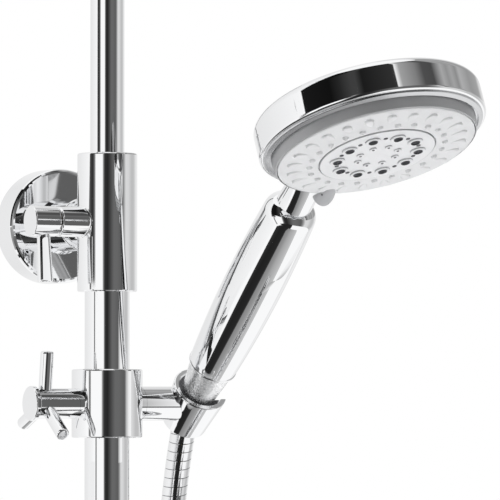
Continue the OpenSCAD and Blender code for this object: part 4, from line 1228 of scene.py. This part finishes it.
@dataclass
class SprayFace:
    """The turning spray face's nozzles, jets and selector tab."""

    band_inner: float = 31.6
    band_outer: float = 50.7
    skirt: float = 52.4
    pad: float = 0.8
    swell: float = 1.65
    swell_from: float = 34.6
    nozzle_count: int = 24
    drop_at: float = 46.0
    drop_radius: float = 2.8
    drop_length: float = 6.6
    drop_height: float = 1.3
    bump_at: float = 36.5
    bump_radius: float = 1.8
    jet_at: float = 22.1
    jet_count: int = 10
    jet_turn: float = 21.0
    jet_radius: float = 4.0
    jet_top: float = 3.1
    well_radius: float = 2.46
    disc_top: float = 2.2
    plate_radius: float = 30.9
    dimple_at: float = 11.0
    dimple_count: int = 8
    dimple_radius: float = 1.9
    dimple_top: float = 2.95

    @staticmethod
    def around(count: int, at: float, z: float = 0.0, start: float = 0.0) -> list[Matrix]:
        """Returns places at equal angles round the face.

        Args:
            count: How many there are.
            at: Their distance from the centre.
            z: Their height.
            start: The first one's angle, in degrees.

        Returns:
            The places, whose X points outwards.
        """
        return [turn(start + 360.0 * k / count, "Z") @ shift(at, 0, z) for k in range(count)]

    def drop(self) -> Mesh:
        """Shapes one drop-shaped rubber nozzle, its round end outwards.

        Returns:
            The nozzle.
        """
        mesh = bmesh.new()
        bmesh.ops.create_circle(mesh, cap_ends=True, radius=self.drop_radius, segments=20)
        for vertex in mesh.verts:
            if vertex.co.x < 0:
                share = -vertex.co.x / self.drop_radius
                vertex.co.x = -self.drop_length * share
                vertex.co.y *= 1.0 - 0.2 * share
        top = bmesh.ops.extrude_face_region(mesh, geom=mesh.faces[:])["geom"]
        raised = [item for item in top if isinstance(item, bmesh.types.BMVert)]
        for vertex in raised:
            share = (vertex.co.x + self.drop_length) / (self.drop_length + self.drop_radius)
            vertex.co.z += 0.3 + self.drop_height * share
            vertex.co.x *= 0.9
            vertex.co.y *= 0.8
        edges = [e for e in mesh.edges if all(v in raised for v in e.verts)]
        bmesh.ops.bevel(
            mesh, geom=edges, offset=0.6, offset_type="OFFSET", segments=4, profile=0.5,
            affect="EDGES", material=-1,
        )
        bmesh.ops.recalc_face_normals(mesh, faces=mesh.faces[:])
        return mesh

    def bump(self) -> Mesh:
        """Turns one round rubber nozzle with its outlet.

        Returns:
            The nozzle.
        """
        r = self.bump_radius
        return Workshop.lathe(
            [(0.0, 0.0), (r, 0.0), (r * 0.72, 1.5, 0.3), (0.45, 1.5), (0.4, 1.1), (0.0, 1.1)],
            steps=20,
        )

    def raised(self, mesh: Mesh) -> Mesh:
        """Lifts a nozzle on to the swell of the rubber ring.

        Args:
            mesh: The nozzle.

        Returns:
            The same mesh.
        """
        for vertex in mesh.verts:
            out = (self.band_outer - vertex.co.xy.length) / (self.band_outer - self.swell_from)
            vertex.co.z += self.swell * min(max(out, 0.0), 1.0)
        return mesh

    def nozzles(self) -> None:
        """Builds the rubber ring with its two circles of nozzles."""
        inner, outer = self.band_inner, self.band_outer
        ring = Workshop.lathe([
            (inner, -self.pad), (outer, -self.pad), (outer, 0.02), (self.skirt, 0.02),
            (self.skirt - 0.2, 0.14), (outer, 0.2), (self.swell_from, self.swell),
            (inner, self.swell, 0.3),
        ], closed=True, steps=192)
        drops = self.around(self.nozzle_count, self.drop_at, -0.1, 180.0 / self.nozzle_count)
        bumps = self.around(self.nozzle_count, self.bump_at, -0.2)
        parts = [self.raised(Workshop.placed(self.drop(), place)) for place in drops]
        parts += [self.raised(Workshop.placed(self.bump(), place)) for place in bumps]
        mesh = Workshop.joined([ring, *parts], LAYOUT.face())
        Workshop.finished(
            "rubber_nozzles", mesh, Finishes.soft_white, Body.FACE, Slot.SOFT_WHITE,
            ["nozzle_ring"],
        )

    def plate(self) -> None:
        """Builds the inner disc with its bosses, and grey rings round the bosses and the disc's
        edge that paint the shade at their walls.
        """
        rim, top = self.plate_radius, self.disc_top
        white = [Workshop.lathe(
            [(0.0, 0.1), (rim, 0.1), (rim, top, 0.4), (0.0, top)], steps=160
        )]
        # These grey rings are painted shade: at the disc's foot, and as collars on the bosses'
        # walls.
        grey = [Workshop.lathe(
            [(rim - 0.1, 0.6), (rim + 0.15, 0.6), (rim + 0.15, top - 0.15),
             (rim - 0.1, top - 0.15)], closed=True, steps=160,
        )]
        jets = self.around(self.jet_count, self.jet_at, start=self.jet_turn)
        dimples = self.around(self.dimple_count, self.dimple_at)
        low = self.disc_top - 0.1
        for places, hole, radius, top in (
            (jets, self.well_radius, self.jet_radius, self.jet_top),
            (dimples, 0.0, self.dimple_radius, self.dimple_top),
        ):
            boss = [(hole, low), (radius, low), (radius, top, 0.25), (hole, top)]
            collar = [
                (radius - 0.1, low), (radius + 0.12, low), (radius + 0.08, top - 0.2),
                (radius - 0.1, top - 0.2),
            ]
            for place in places:
                white.append(Workshop.lathe(boss, closed=hole > 0, steps=40, place=place))
                grey.append(Workshop.lathe(collar, closed=True, steps=40, place=place))
        for name, parts, finish, slot, nodes in (
            ("jet_plate", white, Finishes.white, Slot.WHITE, ["jet_disc"]),
            ("jet_collar_shade", grey, Finishes.tab_grey_and_shade, Slot.GREY, []),
        ):
            mesh = Workshop.joined(parts, LAYOUT.face())
            Workshop.finished(name, mesh, finish, Body.FACE, slot, nodes)

    def well(self) -> Mesh:
        """Shapes one jet's well as a dark insert that paints its shade, with a fin across it.

        Returns:
            The well.
        """
        radius, top = self.well_radius, self.jet_top
        well = Workshop.lathe([
            (0.0, 1.0), (radius, 1.0), (radius, top + 0.5, 0.2), (2.15, top + 0.5),
            (1.9, top - 0.3), (0.0, top - 0.3),
        ], steps=32)
        fin = bmesh.new()
        bmesh.ops.create_cube(fin, size=1.0)
        bmesh.ops.scale(fin, vec=(0.35, 3.5, 0.8), verts=fin.verts[:])
        bmesh.ops.bevel(
            fin, geom=fin.edges[:], offset=0.08, offset_type="OFFSET", segments=1,
            profile=0.5, affect="EDGES", material=-1,
        )
        return Workshop.joined([well, Workshop.placed(fin, shift(0, 0, top))])

    def jets(self) -> None:
        """Builds the painted shade of the face's openings: dark fills in the jets' wells, the
        small holes and the dimples' holes.
        """
        # The small holes and the dimples' dots are dark pellets that paint the shade of holes.
        hole = [
            (0.0, 1.15), (0.87, 1.15), (0.87, 2.2), (1.15, 2.22), (1.15, 2.5, 0.1), (0.0, 2.4),
        ]
        dot = [(0.0, -0.1), (0.7, -0.1), (0.7, 0.3, 0.1), (0.4, 0.3), (0.3, 0.0), (0.0, 0.0)]
        wells = self.around(self.jet_count, self.jet_at, start=self.jet_turn)
        between = self.jet_turn + 180.0 / self.jet_count
        holes = self.around(self.jet_count, self.jet_at, start=between)
        dots = self.around(self.dimple_count, self.dimple_at, self.dimple_top - 0.1)
        parts = [Workshop.placed(self.well(), place) for place in wells]
        parts += [Workshop.lathe(hole, steps=20, place=place) for place in holes]
        parts += [Workshop.lathe(dot, steps=16, place=place) for place in dots]
        mesh = Workshop.joined(parts, LAYOUT.face())
        Workshop.finished("jet_well_shade", mesh, Finishes.hole_shade_dark, Body.FACE, Slot.DARK)

    @staticmethod
    def selector() -> None:
        """Builds the shell-shaped selector tab and its pip, a dark dot of painted shade."""
        downwards = LAYOUT.face() @ turn(-90, "Z")
        # Each row holds an arch's distance from the centre, its half width and its height
        rows = (
            (44.2, 0.6, 0.3), (46.0, 2.0, 0.9), (48.5, 3.6, 1.9), (51.5, 5.1, 3.1),
            (54.3, 6.0, 4.3), (56.4, 6.1, 5.1), (57.6, 5.2, 5.2), (58.2, 3.5, 4.6),
            (58.4, 1.6, 3.9),
        )
        base = 0.02
        mesh = Workshop.loft([
            shift(along, 0.7, base) @ turn(90, "Y") @ turn(90, "Z") @ stretch(wide, high)
            for along, wide, high in Workshop.eased(rows, 5)
        ], sides=40)
        for vertex in mesh.verts:
            vertex.co.z = max(vertex.co.z, base)
        Workshop.finished(
            "selector_shell", Workshop.placed(mesh, downwards), Finishes.tab_grey_and_shade, Body.FACE,
            Slot.GREY, ["selector_tab"], sharp=50.0,
        )
        # The pip is a dark dot that paints the shade of a small hole in the tab.
        pip = Workshop.lathe(
            [(0.0, 0.0), (0.55, 0.0), (0.5, 0.3, 0.1), (0.0, 0.3)], steps=20,
            place=downwards @ shift(50.6, -3.5, 1.75) @ turn(40, "X"),
        )
        Workshop.finished("selector_pip", pip, Finishes.hole_shade_dark, Body.FACE, Slot.DARK)

    def build(self) -> None:
        """Builds the face's new pieces."""
        self.nozzles()
        self.plate()
        self.jets()
        self.selector()


@dataclass
class Dressing:
    """The finishes of the CAD nodes."""

    by_slot: dict[str, Finish] = field(default_factory=lambda: {
        "chrome": Finishes.chrome, "plated_plastic": Finishes.plated, "brass": Finishes.brass,
        "rubber": Finishes.rubber, "steel": Finishes.steel, "ceramic": Finishes.ceramic,
        "grey_plastic": Finishes.satin_grey, "dark_plastic": Finishes.dark,
        "white_plastic": Finishes.white, "soft_white": Finishes.soft_white,
        "hose": Finishes.hose,
    })
    by_node: dict[str, Finish] = field(default_factory=lambda: {
        "rim_ring": Finishes.satin_chrome, "cone_nut": Finishes.frosted,
        "selector_tab": Finishes.tab_grey_and_shade,
    })

    def dress(self, frame: dict[str, object]) -> None:
        """Gives every CAD node its finish.
        """
        for entry in frame["record"]["subparts"]:
            name, slot = entry["node"], entry["material_slot"]
            finish = self.by_node.get(name, self.by_slot[slot])
            data = frame["nodes"][name].data
            data.materials.clear()
            data.materials.append(finish.material())
            log.info("%s: %s", name, finish.name)


def main() -> None:
    """Builds the scene."""
    logging.basicConfig(level=logging.INFO, format="%(name)s: %(message)s")
    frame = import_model()
    Studio().build()
    ShowerHose().build()
    Diverter().build()
    Handset().build()
    Bezel().build()
    SprayFace().build()
    Dressing().dress(frame)


if __name__ == "__main__":
    main()
